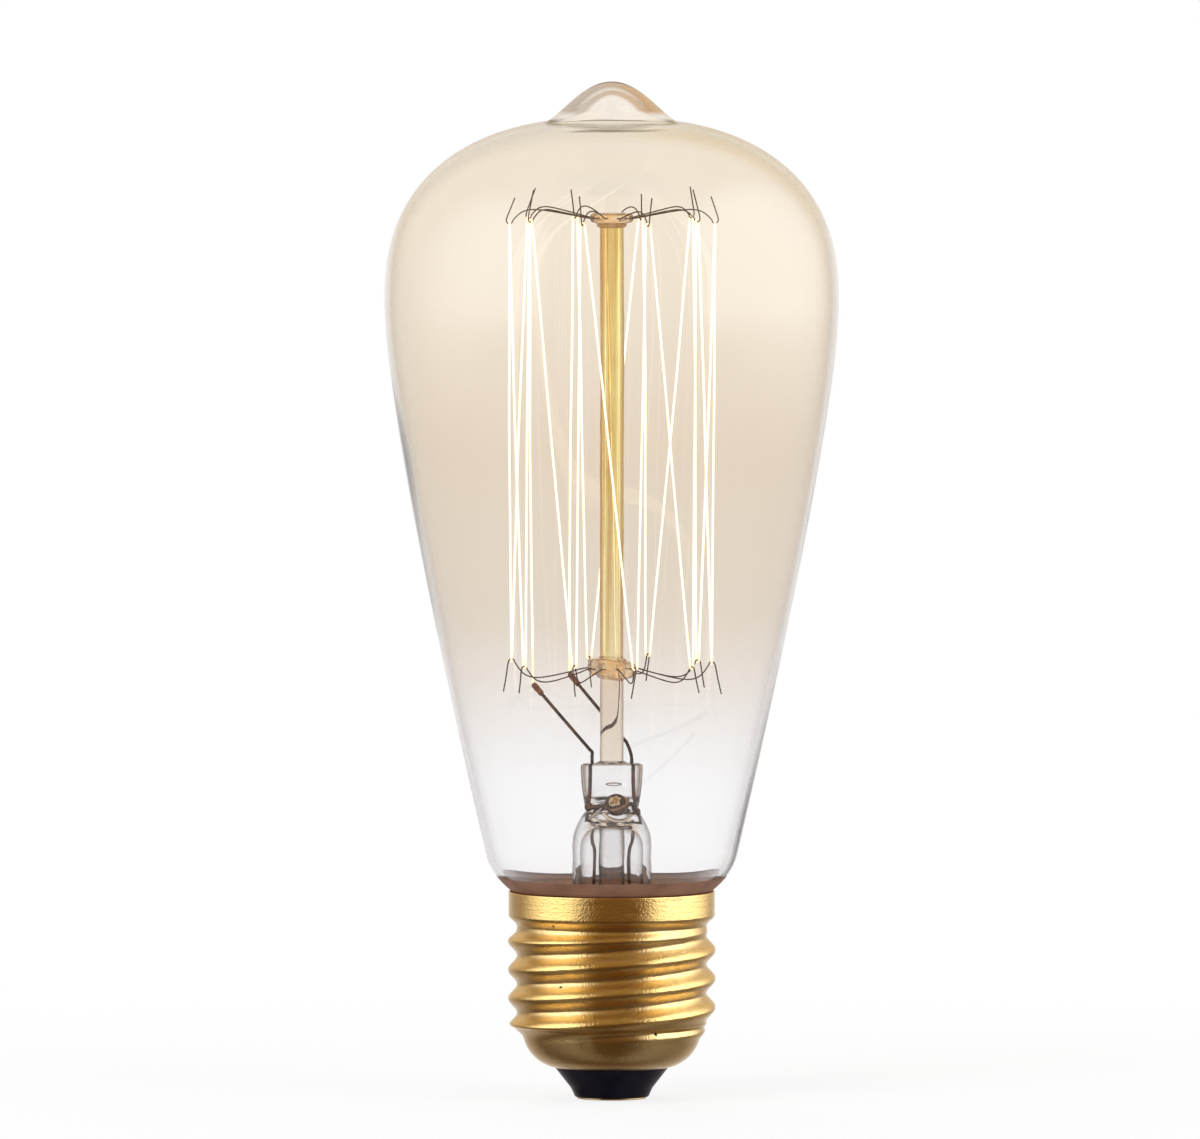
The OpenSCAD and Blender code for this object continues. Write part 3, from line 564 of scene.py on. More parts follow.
def knot_glass():
    """Browned, molten glass round the exhaust hole: an amber eye in rings of cream and brown."""
    t, where = material("knot_glass")
    swirl = t.noise(where, 900, 4.0, 0.7)
    away = t.add("ShaderNodeVectorMath", {0: where, 1: tuple(KNOT_EYE * MM)}, operation="SUBTRACT").outputs[0]
    flat = t.add("ShaderNodeVectorMath", {0: away, 1: KNOT_RINGS}, operation="MULTIPLY").outputs[0]
    ring = t.add("ShaderNodeVectorMath", {0: flat}, operation="LENGTH").outputs["Value"]
    ring = t.plus(ring, t.times(t.less(swirl, 0.5), 0.7))
    colour = t.ramp(
        ring, (0.0, (0.7, 0.4, 0.12)), (0.1, (0.2, 0.08, 0.03)), (0.17, (0.8, 0.62, 0.4)),
        (0.23, (0.05, 0.02, 0.008)), (0.36, (0.03, 0.012, 0.005)), (0.46, (0.32, 0.17, 0.09)),
        (0.52, (0.05, 0.022, 0.012)), (0.8, (0.1, 0.05, 0.03)),
    )
    return t.glass((0.6, 0.45, 0.3), colour, 0.08, clear=0.2, Normal=t.bump(swirl, 0.5, 0.0003))


def brass():
    """Satin rolled brass: duller in the grooves, yellower on the crests, pebbled, stained, pitted."""
    t, where = material("cap_brass")
    crest = t.fade(t.radius(where), (ROOT_R + 0.15) * MM, THREAD_R * MM)
    cloud = t.noise(where, 130, 4.0)
    fine = t.noise(where, 4200, 2.0)
    groove = t.ramp(cloud, (0.3, (0.8, 0.57, 0.24)), (0.7, (0.86, 0.65, 0.33)))
    rubbed = t.ramp(cloud, (0.3, (0.84, 0.58, 0.21)), (0.7, (0.92, 0.67, 0.28)))
    metal = t.mix(crest, groove, rubbed)
    stain = t.fade(t.noise(where, 260, 5.0, 0.65), 0.56, 0.72)
    metal = t.mix(t.times(stain, 0.35), metal, (0.42, 0.27, 0.1))
    pits = t.add("ShaderNodeTexVoronoi", {"Vector": where, "Scale": 420.0}).outputs["Distance"]
    rare = t.span(t.noise(where, 230, 0.0), 0.62, 0.67)
    pit = t.times(t.span(pits, 0.1, 0.05), rare)
    metal = t.mix(pit, metal, (0.05, 0.03, 0.02))
    rolled = t.noise(t.stretched(where, (1, 1, 22)), 160, 2.0)
    height = t.plus(fine, t.times(rolled, 0.4))
    height = t.less(height, t.times(pit, 1.5))
    rough = t.span(cloud, 0.3, 0.7, 0.18, 0.27)
    return t.surface(metal, rough, Metallic=1.0, Normal=t.bump(height, 0.5, 0.00009))


def contact_brass():
    """Turned brass with fine rings and dull clouds."""
    t, where = material("contact_brass")
    rings = t.math("SINE", t.times(t.radius(where), 60000))
    cloud = t.noise(where, 500, 4.0)
    metal = t.ramp(cloud, (0.3, (0.5, 0.36, 0.16)), (0.6, (0.83, 0.65, 0.33)), (0.8, (0.9, 0.74, 0.44)))
    rough = t.span(cloud, 0.3, 0.7, 0.26, 0.45)
    height = t.plus(rings, t.times(cloud, 2.0))
    return t.surface(metal, rough, Metallic=1.0, Normal=t.bump(height, 0.15, 0.00002))


def black_glass():
    """Black pressed glass with a blue cast, dull where the mould touched it."""
    t, where = material("cap_insulation")
    cloud = t.noise(where, 300, 4.0)
    grain = t.noise(where, 3000, 2.0)
    colour = t.ramp(cloud, (0.3, (0.002, 0.002, 0.006)), (0.75, (0.009, 0.009, 0.02)))
    rough = t.span(cloud, 0.3, 0.7, 0.28, 0.4)
    return t.surface(colour, rough, Specular_IOR_Level=0.2, Normal=t.bump(grain, 0.12, 0.00004))


def solder():
    """Cooled tin with soft lumps and grey oxide."""
    t, where = material("solder")
    lumps = t.noise(where, 900, 4.0, 0.6)
    colour = t.ramp(lumps, (0.3, (0.4, 0.4, 0.41)), (0.65, (0.78, 0.77, 0.75)))
    rough = t.span(lumps, 0.3, 0.7, 0.45, 0.22)
    return t.surface(colour, rough, Metallic=1.0, Normal=t.bump(lumps, 0.4, 0.0001))


def cement():
    """Baked brown cement with grains and pores."""
    t, where = material("cement")
    grain = t.noise(where, 1600, 6.0, 0.7)
    patch = t.noise(where, 220)
    body = t.ramp(patch, (0.3, (0.24, 0.09, 0.04)), (0.7, (0.36, 0.15, 0.075)))
    colour = t.mix(t.span(grain, 0.35, 0.75), body, (0.42, 0.25, 0.17))
    return t.surface(colour, 0.85, Specular_IOR_Level=0.3, Normal=t.bump(grain, 0.6, 0.0002))


def cement_film():
    """Brown film that the cement leaves on the glass over the rim, with a darker line along its top on the
    back half only.
    """
    t, where = material("cement_film")
    _, y, z = t.axes(where)
    top = t.fade(y, 0.0, FILM_R * MM, FILM_SIDE * MM, FILM_BACK * MM)
    ragged = t.plus(t.less(z, top), t.times(t.noise(where, 400), 0.0003))
    line = t.times(t.fade(ragged, -0.0003, 0.0), t.span(y, -0.004, 0.0))
    patch = t.ramp(t.noise(where, 250), (0.3, (0.19, 0.09, 0.056)), (0.7, (0.28, 0.14, 0.09)))
    return t.surface(t.mix(line, patch, (0.1, 0.045, 0.04)), 0.5, Specular_IOR_Level=0.3)


def wire_metal(name, dark, light, metallic=0.9, rough=0.35, gloss=0.5):
    """Drawn wire: two tones along it and fine scratches."""
    t, where = material(name)
    tone = t.noise(where, 625)
    scratch = t.noise(where, 5000, 2.0)
    return t.surface(
        t.ramp(tone, (0.3, dark), (0.7, light)), t.span(tone, 0.3, 0.7, rough, rough + 0.15),
        Metallic=metallic, Specular_IOR_Level=gloss, Normal=t.bump(scratch, 0.2, 0.00002),
    )


def glowing_wire():
    """The lit filament: a fine coil, white hot, a little yellower at its ends."""
    t, where = material("filament_wire")
    z = t.axes(where)[2]
    coil = t.math("SINE", t.times(z, 22000))
    low_end = t.span(z, (LOWER_Z + 2.9) * MM, (LOWER_Z + 0.7) * MM)
    high_end = t.span(z, (UPPER_Z - 2) * MM, (UPPER_Z - 0.3) * MM)
    near_end = t.math("MAXIMUM", low_end, high_end)
    colour = t.mix(near_end, (1.0, 0.95, 0.85), (0.64, 0.53, 0.39))
    return t.surface(
        (0.9, 0.75, 0.5, 1), 0.5, Emission_Color=colour, Emission_Strength=1.4,
        Normal=t.bump(coil, 0.3, 0.00003),
    )


# Envelope and cap
def crown_z(r):
    body = BELLY_Z + CROWN_RISE * (1 - np.minimum(r / BULB_R, 1.0) ** CROWN_POWER) ** (1 / CROWN_POWER)
    return body + TIP_H * np.clip(1 - (r / TIP_R) ** 2, 0, 1) ** 1.5


def neck_curve(steps):
    """The neck from its straight end up to the shoulder."""
    ends = [SHOULDER, SHOULDER - 3.6 * SHOULDER_DIR, (NECK_R, NECK_Z + 0.2), (NECK_R, NECK_Z)]
    return np.vstack([SHOULDER, bezier(ends, steps)])[::-1]


def envelope():
    """Blown glass with an inner face of its own, so that it bends what is seen through it."""
    rim = math.acos((TIP_R / BULB_R) ** (CROWN_POWER / 2))
    crown = BULB_R * np.cos(rim * (1 - np.arange(1, 61) / 60)) ** (2 / CROWN_POWER)
    radii = np.concatenate([np.linspace(0, TIP_R, 36), crown])
    top = np.stack([radii, crown_z(radii)], 1)
    belly = bezier(
        [(BULB_R, BELLY_Z), (BULB_R, BELLY_Z - 14.6), SHOULDER + 7.4 * SHOULDER_DIR, SHOULDER], 96
    )
    outer = np.vstack([(NECK_R, SEAL_Z), neck_curve(NECK_STEPS)[:-1], belly[::-1], top[::-1]])
    t = np.gradient(outer, axis=0)
    t[-1] = (-1, 0)
    tip_share = np.clip(1 - (outer[:, 0] / TIP_R) ** 2, 0, 1) * (outer[:, 1] > BELLY_Z)
    wall = GLASS_WALL + (TIP_WALL - GLASS_WALL) * tip_share
    inner = outer - wall[:, None] * normals(t)
    inner[0] = (NECK_R - GLASS_WALL, SEAL_Z)
    inner[-1, 0] = 0

    def blown(r, z, az):
        """Small waves in the inner face, none in the outer."""
        inside = (r, z) in inside_rows
        wave = np.sin(3 * az + 0.11 * z) + 0.6 * np.sin(5 * az - 0.07 * z + 1)
        wave += 0.4 * np.sin(2 * az + 0.3 * z)
        return r + inside * 0.03 * wave * min(1.0, r / 6), z

    inside_rows = {(r, z) for r, z in inner.tolist()}
    return revolve(np.vstack([inner[::-1], outer]), SIDES, blown)


def crest_at(az, z):
    height = z - CAP_H + CREST_DROP - THREAD_LEAN * np.cos(az)
    return (1 + np.cos(2 * np.pi * height / THREAD_PITCH - az)) / 2


def thread_share(z):
    start = BOWL_Z - 1.5
    end = SKIRT_Z - SKIRT_NECK_H
    return smooth((z - start) / 2) * smooth((end - z) / 1.8)


def shell_base(z):
    """Radius of the shell over the bowl, without its thread."""
    step = ROOT_R - BOWL_STEP + BOWL_STEP * smooth((z - BOWL_Z) / 0.7)
    return step + (SKIRT_R - ROOT_R) * smooth((z - SKIRT_Z + SKIRT_NECK_H) / SKIRT_NECK_H)


def dents(az, z):
    """A few shallow knocks, pressed inward."""
    draw = np.random.default_rng(11)
    total = np.zeros_like(az)
    for _ in range(46):
        at, height = draw.uniform(0, 2 * np.pi), draw.uniform(6.5, CAP_H - 0.5)
        size, depth = draw.uniform(0.35, 1.1), draw.uniform(0.015, 0.07)
        turn = (az - at + np.pi) % (2 * np.pi) - np.pi
        total -= depth * np.exp(-((turn * SKIRT_R) ** 2 + (z - height) ** 2) / size**2)
    return total


def cap_shell():
    """Rolled sheet from the edge of the bowl up to the rim, and back down inside."""
    bowl = [("bowl", a) for a in np.linspace(BOWL_EDGE, math.pi / 2, 34, endpoint=False)]
    wall = [("wall", z) for z in np.linspace(BOWL_Z, CAP_H - RIM_ROLL, 150)]
    az = azimuths(SHELL_SIDES)

    def ring(kind, value, inset):
        if kind == "bowl":
            r = BOWL_CR + (BOWL_R - inset) * math.sin(value)
            z = BOWL_Z - (BOWL_R - inset) * math.cos(value)
        else:
            r = shell_base(value) - inset
            z = value
        threaded = THREAD_DEPTH * thread_share(z) * crest_at(az, z)
        return ring_at(r + threaded + dents(az, z), z, az)

    outer = [ring(*row, 0.0) for row in bowl + wall]
    rim = [ring_at(SKIRT_R - inset, CAP_H, az) for inset in (RIM_ROLL, SHEET_T - RIM_ROLL)]
    inner = [ring(*row, SHEET_T) for row in (bowl + wall)[::-1]]
    return skin(outer + rim + inner, loop=True)


def cap_insulator():
    arc = [
        (BOWL_CR + (BOWL_R - SHEET_T) * math.sin(a), BOWL_Z - (BOWL_R - SHEET_T) * math.cos(a))
        for a in np.linspace(BOWL_EDGE, math.pi / 2 - 0.5, 8)
    ]
    outline = [
        (RIVET_R, PLATE_HIGH), (CONTACT_R, PLATE_HIGH), (CONTACT_R, INSULATOR_TIP_Z),
        (INSULATOR_TIP_R, INSULATOR_TIP_Z), (INSULATOR_TIP_R + 0.5, 1.45), (INSULATOR_R, SHELL_LOW[2]),
        *arc, (RIVET_R, arc[-1][1]),
    ]
    return revolve(soften(outline, 0.16), 120)


def contact():
    outline = [
        (RIVET_BORE_R, PLATE_LOW), (CONTACT_R, PLATE_LOW), (CONTACT_R, PLATE_HIGH), (RIVET_R, PLATE_HIGH),
        (RIVET_R, RIVET_TOP), (RIVET_BORE_R, RIVET_TOP),
    ]
    return revolve(soften(outline, 0.09), SMALL_SIDES)


def centre_solder():
    """A flattened drop that fills the rivet."""

    def lumpy(r, z, az):
        wave = 1 + 0.05 * np.sin(3 * az + 1) + 0.03 * np.sin(7 * az)
        return r * (wave if r > 1.7 else 1.0), z

    outline = [(0, 0), (0.8, 0), (1.6, 0), (1.95, 0.02), (2.2, 0.06), (2.35, 0.12), (2.4, PLATE_LOW),
               (RIVET_BORE_R, PLATE_LOW), (RIVET_BORE_R, 1.2), (0, 1.2)]
    return revolve(outline, 72, lumpy)


def side_solder():
    """A low drop on the skirt, at the back."""
    size, height, sink = 0.93, 0.19, 0.04
    at = out_at(SOLDER_AZ)
    side = side_at(SOLDER_AZ)
    az = azimuths(40)
    rings = []
    for share in (1.0, 0.97, 0.9, 0.78, 0.6, 0.4, 0.2):
        reach = size * share * (1 + 0.05 * np.sin(3 * az + 0.5) + 0.03 * np.sin(5 * az))
        across, along = reach * np.cos(az), reach * np.sin(az)
        radius = np.sqrt(SKIRT_R**2 - across**2) - sink + (height + sink) * (1 - share**4) ** 0.5
        rings.append(radius[:, None] * at + across[:, None] * side + (SOLDER_Z + along)[:, None] * up(1))
    top = (SKIRT_R + height) * at + up(SOLDER_Z)
    return skin(rings, start=(SKIRT_R - 0.2) * at + up(SOLDER_Z), end=top)


def basing_cement():
    """Cement between the neck and the skirt, uneven on top."""
    low = SKIRT_Z - SKIRT_NECK_H + 0.6
    glass = np.array([p for p in neck_curve(NECK_STEPS) if p[1] < CAP_H - 0.25])
    glass[:, 0] += 0.01
    skirt = [(shell_base(z) - SHEET_T - 0.01, z) for z in np.linspace(low, CAP_H - 0.3, 12)]

    def lumpy(r, z, az):
        share = smooth((z - CAP_H + 0.8) / 0.5)
        return r, z - 0.12 * share * (1 + np.sin(9 * az) * np.sin(4 * az + 1))

    outline = [(NECK_R + 0.01, low), *skirt, *glass[::-1]]
    return revolve(outline, SIDES, lumpy)


def film():
    """Cement that has crept up the outside of the neck: highest at the sides, lowest at the back."""
    glass = neck_curve(60)
    az = azimuths(SIDES)
    s = np.sin(az)
    top = FILM_SIDE - (FILM_SIDE - FILM_BACK) * smooth(s) - (FILM_SIDE - FILM_FRONT) * smooth(-s)
    rings = []
    for off, shares in ((0.015, np.linspace(0, 1, 14)), (0.055, np.linspace(1, 0, 14))):
        for share in shares:
            z = FILM_LOW + (top - FILM_LOW) * share
            rings.append(ring_at(np.interp(z, glass[:, 1], glass[:, 0]) + off, z, az))
    return skin(rings, loop=True)


# Stem and mount
def stem():
    """Flare, tube, dome and flat press as one glass with its bore."""
    seal_r = NECK_R - GLASS_WALL
    s = np.linspace(0, 1, 16)
    flare = np.stack([TUBE_R + (seal_r - TUBE_R) * (1 - s) ** 2.2, SEAL_Z + SEAL_BAND + FLARE_H * s], 1)
    t = np.gradient(flare, axis=0)
    t[0] = (-1, 1.2)
    under = flare - TUBE_WALL * normals(t)
    dome_low = DOME_Z - DOME_H
    az = azimuths(SMALL_SIDES)
    bore = TUBE_R - TUBE_WALL
    roof_low = dome_low - 0.6
    roof = DOME_Z - 1.1 - roof_low
    rings = []

    def add(a, b, z, square=1.0):
        c, s = np.cos(az), np.sin(az)
        x = a * np.sign(c) * np.abs(c) ** square
        y = b * np.sign(s) * np.abs(s) ** square
        rings.append(np.stack([x, y, np.full_like(az, z)], 1))

    def add_round(r, z):
        add(r, r, z)

    for s in np.linspace(0.15, 1, 9):
        add_round(bore * math.sin(s * math.pi / 2) ** 0.75, roof_low + roof * math.cos(s * math.pi / 2))
    for z in np.linspace(roof_low - 0.9, flare[-1][1] + 0.5, 6):
        add_round(bore, z)
    for r, z in under[::-1]:
        add_round(r, max(z, SEAL_Z + 0.02))
    add_round(under[0][0], SEAL_Z)
    add_round(seal_r - 0.02, SEAL_Z)
    for r, z in flare:
        add_round(min(r, seal_r - 0.02), z)
    for z in np.linspace(flare[-1][1] + 0.5, dome_low - 0.3, 10):
        add_round(TUBE_R - 0.04 * math.sin(z * 1.7), z)
    for s in np.linspace(0, 0.94, 16):
        add_round(DOME_TOP_R + (TUBE_R - DOME_TOP_R) * (1 - s * s) ** DOME_POWER, dome_low + DOME_H * s)
    height = PRESS_Z - DOME_Z
    for s in np.linspace(0.02, 1, 40):
        flat = smooth(s / 0.36)
        z = DOME_Z + height * s
        into_lip = max(0.0, (z - PRESS_Z + PRESS_LIP) / PRESS_LIP)
        lip = PRESS_LIP * (1 - math.sqrt(1 - into_lip**2))
        waist = 0.7 * (1 - s) ** 2
        dent = 0.1 * math.sin(5 * s + 1)
        a = PRESS_R - waist - lip
        b = (DOME_TOP_R - 0.15) * (1 - flat) + (PRESS_T + dent) * flat - lip
        add(a, b, z, 1 - 0.15 * smooth(s / 0.4))
    brow = ((0.9, 0.02), (0.78, 0.0), (0.66, 0.0), (0.56, 0.06), (0.5, 0.2), (0.45, 0.3), (0.38, 0.3))
    for share, rise in brow:
        a = (PRESS_R - PRESS_LIP) * share
        add(a, min(PRESS_T - PRESS_LIP, a), PRESS_Z + rise, 0.85 + 0.15 * (1 - share))
    shape = skin(rings, start=up(roof_low + roof), end=up(PRESS_Z + 0.3))
    seed = ball((0.25, -0.6, PRESS_Z - 2.6), (1.0, 0.5, 0.26), 24)
    return joined(shape, seed)


def knot():
    """The lump of browned glass round the exhaust hole in the front of the press, and its surroundings."""
    points, faces = ball((0, 0, 0), (1, 1, 1), 56)
    x, y, z = points.T
    turn = np.arctan2(z, x)
    away = np.hypot(x, z)
    groove = 0.1 * np.sin(9 * away - turn) * away * (y < 0)
    lean = 0.42 * np.maximum(-z, 0) + groove
    swell = 1 + 0.06 * np.sin(3 * turn + 0.6) + 0.03 * np.sin(5 * turn)
    lump = KNOT + np.stack([x * swell * KNOT_SIZE[0], y * KNOT_SIZE[1] - lean, z * swell * KNOT_SIZE[2]], 1)
    brown = [
        ((-1.75, -2.75, 0.8), (1.2, 0.5, 0.36), 32), ((-2.9, -2.3, 0.85), (0.55, 0.45, 0.6), 28),
        ((-3.1, -1.9, 1.7), (0.3, 0.45, 0.5), 24), ((2.9, -2.0, 0.8), (0.4, 0.6, 0.7), 28),
        ((3.3, -1.5, 0.1), (0.35, 0.6, 0.55), 28), ((2.3, -2.5, 1.2), (0.55, 0.4, 0.3), 24),
    ]
    return joined((lump, faces), *(ball(up(DOME_Z) + at, size, sides) for at, size, sides in brown))


def knot_lips():
    """Pale ridges that run off the lump: one down to the left, one as a lip under it."""
    left = [(-0.2, -3.35, 1.2), (-0.9, -3.35, 0.8), (-1.5, -3.4, 0.4), (-2.2, -3.2, -0.2), (-2.8, -2.7, -0.6)]
    under = [(-1.1, -3.55, 0.1), (-0.3, -3.85, -0.5), (0.7, -4.0, -0.8), (1.7, -3.8, -0.7), (2.5, -3.2, -0.1)]
    thickness = np.linspace(0.26, 0.2, 25)
    return joined(*(sweep(up(DOME_Z) + rounded(path, 6), thickness, 16) for path in (left, under)))


def exhaust():
    r = EXHAUST_HIGH[0]
    tip = EXHAUST_LOW[2]
    top = EXHAUST_HIGH[2]
    blunt = [(0.6 * math.sin(a), tip + 0.6 * (1 - math.cos(a))) for a in np.linspace(0, math.pi / 2, 7)]
    outline = [*blunt, (1.15, tip + 1.4), (r, tip + 2.2), (r, tip + 4)]
    outline += [(r, top - 0.3), (r - 0.3, top), (0, top)]
    return revolve(outline, 48)


def rod():
    """Drawn cane: its radius wanders a little along its length."""
    low, high = PRESS_Z - 0.1, ROD_HIGH[2]
    heights = np.linspace(low, high, 90)
    wander = 0.012 * np.sin(heights * 0.9) + 0.008 * np.sin(heights * 2.3 + 1)
    return revolve([(0, low), *zip(ROD_R - 0.02 + wander, heights), (0, high)], 64)


def tilted(shape, z, angle):
    """A shape turned about the viewer's line through the axis at z: its left side rises."""
    points, faces = shape
    c, s = cosd(angle), sind(angle)
    x, y, height = (points - up(z)).T
    return np.stack([x * c + height * s, y, height * c - x * s], 1) + up(z), faces


def lower_button():
    """A pressed bead with a rounded rim and a waist to the cane."""
    h = 1.15
    low, high = LOWER_Z - h, LOWER_Z + h
    outline = [(0, low - 0.25), (ROD_R + 0.1, low - 0.25), (ROD_R + 0.35, low)]
    outline += [
        (LOWER_R - h * 0.8 + h * 0.75 * math.cos(a), LOWER_Z + 0.92 * h * math.sin(a))
        for a in np.linspace(-math.pi / 2, math.pi / 2, 17)
    ]
    outline += [(ROD_R + 0.35, high), (ROD_R + 0.1, high + 0.3), (0, high + 0.3)]

    def pressed(r, z, az):
        wave = 0.12 * np.sin(2 * az + 0.7) + 0.07 * np.sin(5 * az) + 0.05 * np.sin(9 * az + 2)
        return r + wave * smooth((r - ROD_R) / 1.5), z + 0.08 * np.sin(3 * az + 1) * smooth((r - ROD_R) / 1.2)

    return tilted(revolve(outline, SMALL_SIDES, pressed), LOWER_Z, 7.5)


def upper_button():
    """A flat disc on a short taper."""
    h = UPPER_H / 2
    r = UPPER_R
    rim = [
        (r - 0.5 + 0.5 * math.cos(a), UPPER_Z + (h - 0.02) * math.sin(a))
        for a in np.linspace(-1.45, 1.45, 15)
    ]
    low, high = UPPER_LOW[2], UPPER_HIGH[2]
    outline = [(0, low), (ROD_R + 0.05, low), (ROD_R + 0.3, low + 0.12), (r - 0.8, UPPER_Z - h)]
    outline += [*rim, (r - 0.9, high), (0, high)]

    def pressed(radius, z, az):
        wave = 0.05 * np.sin(3 * az) + 0.04 * np.sin(8 * az + 1)
        return radius + (wave - 0.05) * smooth((radius - ROD_R) / 1.0), z

    return revolve(outline, SMALL_SIDES, pressed)


def sway(k, size):
    return size * sind(137 * k + 40)


def upper_az(k):
    return UPPER_FIRST_AZ + 360 / COUNT * k


def lower_az(k):
    return upper_az(k) - LOWER_LAG


def eye(az, k, z):
    return (CAGE_R + sway(k, 0.2)) * out_at(az + sway(k + 5, 0.8)) + up(z + sway(k + 2, 0.25))


def upper_eye(k):
    return eye(upper_az(k), k, UPPER_EYE_Z)


def lower_eye(k):
    return eye(lower_az(k), k + 20, LOWER_EYE_Z)


def ways(point):
    """Outward and sideways, seen from the axis."""
    out = unit([point[0], point[1], 0])
    return out, np.array([-out[1], out[0], 0])


# Brings the highest point of f * (1 - f**7) to 1
BOW = 1.54


def support_path(k, az, seat, button_r, centre, arch, turn, lean):
    """Seat, bowed arm, half-round hook and free tail, as the frame's own supports run."""
    out, side = ways(centre)
    hook = centre + up(turn * (HOOK_R - LINK_R))
    reach = np.hypot(centre[0], centre[1]) - HOOK_R
    arm_r = button_r + 0.3
    tail = TAIL_LEN + sway(k + 1, 0.4)
    hook_end = hook + HOOK_R * out
    tail_end = centre + (lean + sway(k + 4, 0.3)) * out + sway(k + 7, 0.7) * side + up(turn * tail)
    path = [(button_r - SEAT) * out_at(az) + up(seat), arm_r * out_at(az) + up(seat)]
    for f in (0.16, 0.32, 0.48, 0.62, 0.76, 0.88, 1):
        r = arm_r + (reach - arm_r) * f
        way = unit(out_at(az) * (1 - f) + out * f)
        rise = arch * BOW * f * (1 - f**7) + (hook[2] - seat) * f**3
        path.append(r * way + sway(k, 0.45) * sind(180 * f) * side + up(seat + rise))
    for a in (225, 270, 315):
        path.append(hook + HOOK_R * (cosd(a) * out + up(turn * sind(a))))
    path += [hook_end, hook_end + 0.45 * (tail_end - hook_end) + up(turn * 0.1), tail_end]
    return path


def supports(finish):
    paths = {}
    for k in range(COUNT):
        path = support_path(k + 1, upper_az(k), UPPER_Z, UPPER_R, upper_eye(k), UPPER_ARCH, 1, UPPER_LEAN)
        paths[f"upper_support_{k + 1}"] = path
    for j in range(1, COUNT):
        k = (FREE_PLACE + j) % COUNT
        path = support_path(j + 30, lower_az(k), LOWER_Z, LOWER_R, lower_eye(k), LOWER_ARCH, -1, LOWER_LEAN)
        paths[f"lower_support_{j}"] = path
    for name, path in paths.items():
        wire = sweep(rounded(path, 5), SUPPORT_R, 8)
        piece(f"hook_{name}", wire, finish, [name])


def turn_over(centre, way):
    """The filament's half turn round a hook: way is 1 over an upper hook and -1 under a lower one."""
    side = ways(centre)[1]
    hook = centre - up(way * LINK_R)
    return [hook + LINK_R * (cosd(a) * side + up(way * sind(a))) for a in np.linspace(180, 0, 9)]


# Leads and crimps
def crimp_tip(az, drop):
    return CAGE_R * out_at(az) + up(LOWER_Z - drop)


CRIMP_LEFT = crimp_tip(upper_az(FREE_PLACE) - 4.4, 2.6)
CRIMP_RIGHT = crimp_tip(upper_az(FREE_PLACE - 1) + 5.2, 1.5)
CRIMP_LEFT_LEN = 1.9
CRIMP_RIGHT_LEN = 2.4
LEFT_BENDS = np.array([(-LEAD_X, 0, PRESS_Z + 0.9), (-LEAD_X, 0, PRESS_Z + 1.4)])
RIGHT_BENDS = np.array([(LEAD_X, 0, PRESS_Z + 0.9), (LEAD_X - 0.65, 1, PRESS_Z + 2.6)])
LEFT_DIR = unit(CRIMP_LEFT - LEFT_BENDS[1])
RIGHT_DIR = unit(CRIMP_RIGHT - RIGHT_BENDS[1])
BITE = 0.9
SOLDER_AZ = 120
SOLDER_Z = CAP_H - 1
SEAL_TOP = SEAL_WIRE_HIGH[2]
SEAL_LOW = SEAL_WIRE_LOW[2]

# Kinks of the outer leads inside the tube, across and up
LEFT_KINKS = [(-2.35, 35.2), (-2.5, 33.4), (-2.15, 31.6), (-2.2, 28.7), (-2.5, 22)]
RIGHT_KINKS = [(2.75, 35.2), (2.65, 33.3), (2.2, 31.5), (2.15, 28.7), (2.5, 22)]


def filament():
    """One wire from crimp to crimp, over every hook in turn."""
    path = [CRIMP_LEFT - BITE * LEFT_DIR, CRIMP_LEFT + 0.1 * LEFT_DIR]
    for i in range(COUNT):
        k = (FREE_PLACE + i) % COUNT
        path += turn_over(upper_eye(k), 1)
        if i < COUNT - 1:
            path += turn_over(lower_eye((k + 1) % COUNT), -1)
    path += [CRIMP_RIGHT + 0.1 * RIGHT_DIR, CRIMP_RIGHT - BITE * RIGHT_DIR]
    return sweep(np.array(path), FILAMENT_R, 10)


def crimp(tip, way, length):
    """A sleeve pinched flat in its middle, with rolled ends."""
    s = np.array([0, 0.03, 0.1, 0.25, 0.4, 0.55, 0.7, 0.85, 0.95, 1.0])
    path = tip - length * way + s[:, None] * length * way
    radius = np.array([0.3, 0.36, 0.375, 0.37, 0.36, 0.4, 0.39, 0.375, 0.36, 0.3])
    flat = np.array([1, 1, 1, 0.8, 0.62, 0.55, 0.6, 0.8, 1, 1])
    return sweep(path, radius, 20, flat)


def inner_lead(x, bends, way, tip):
    """Out of the press, round its bends and straight into its crimp."""
    path = [(x, 0, SEAL_TOP), *bends, bends[1] + 0.6 * way, bends[1] + 4 * way, tip - BITE * way]
    return sweep(rounded(path, 8), LEAD_R, 14)


def seal_wire(x):
    heights = np.linspace(SEAL_LOW, SEAL_TOP, 24)
    radius = LEAD_R * (1 - 0.06 * np.abs(np.sin(heights * 2.1)))
    return sweep([(x, 0, z) for z in heights], radius, 14)


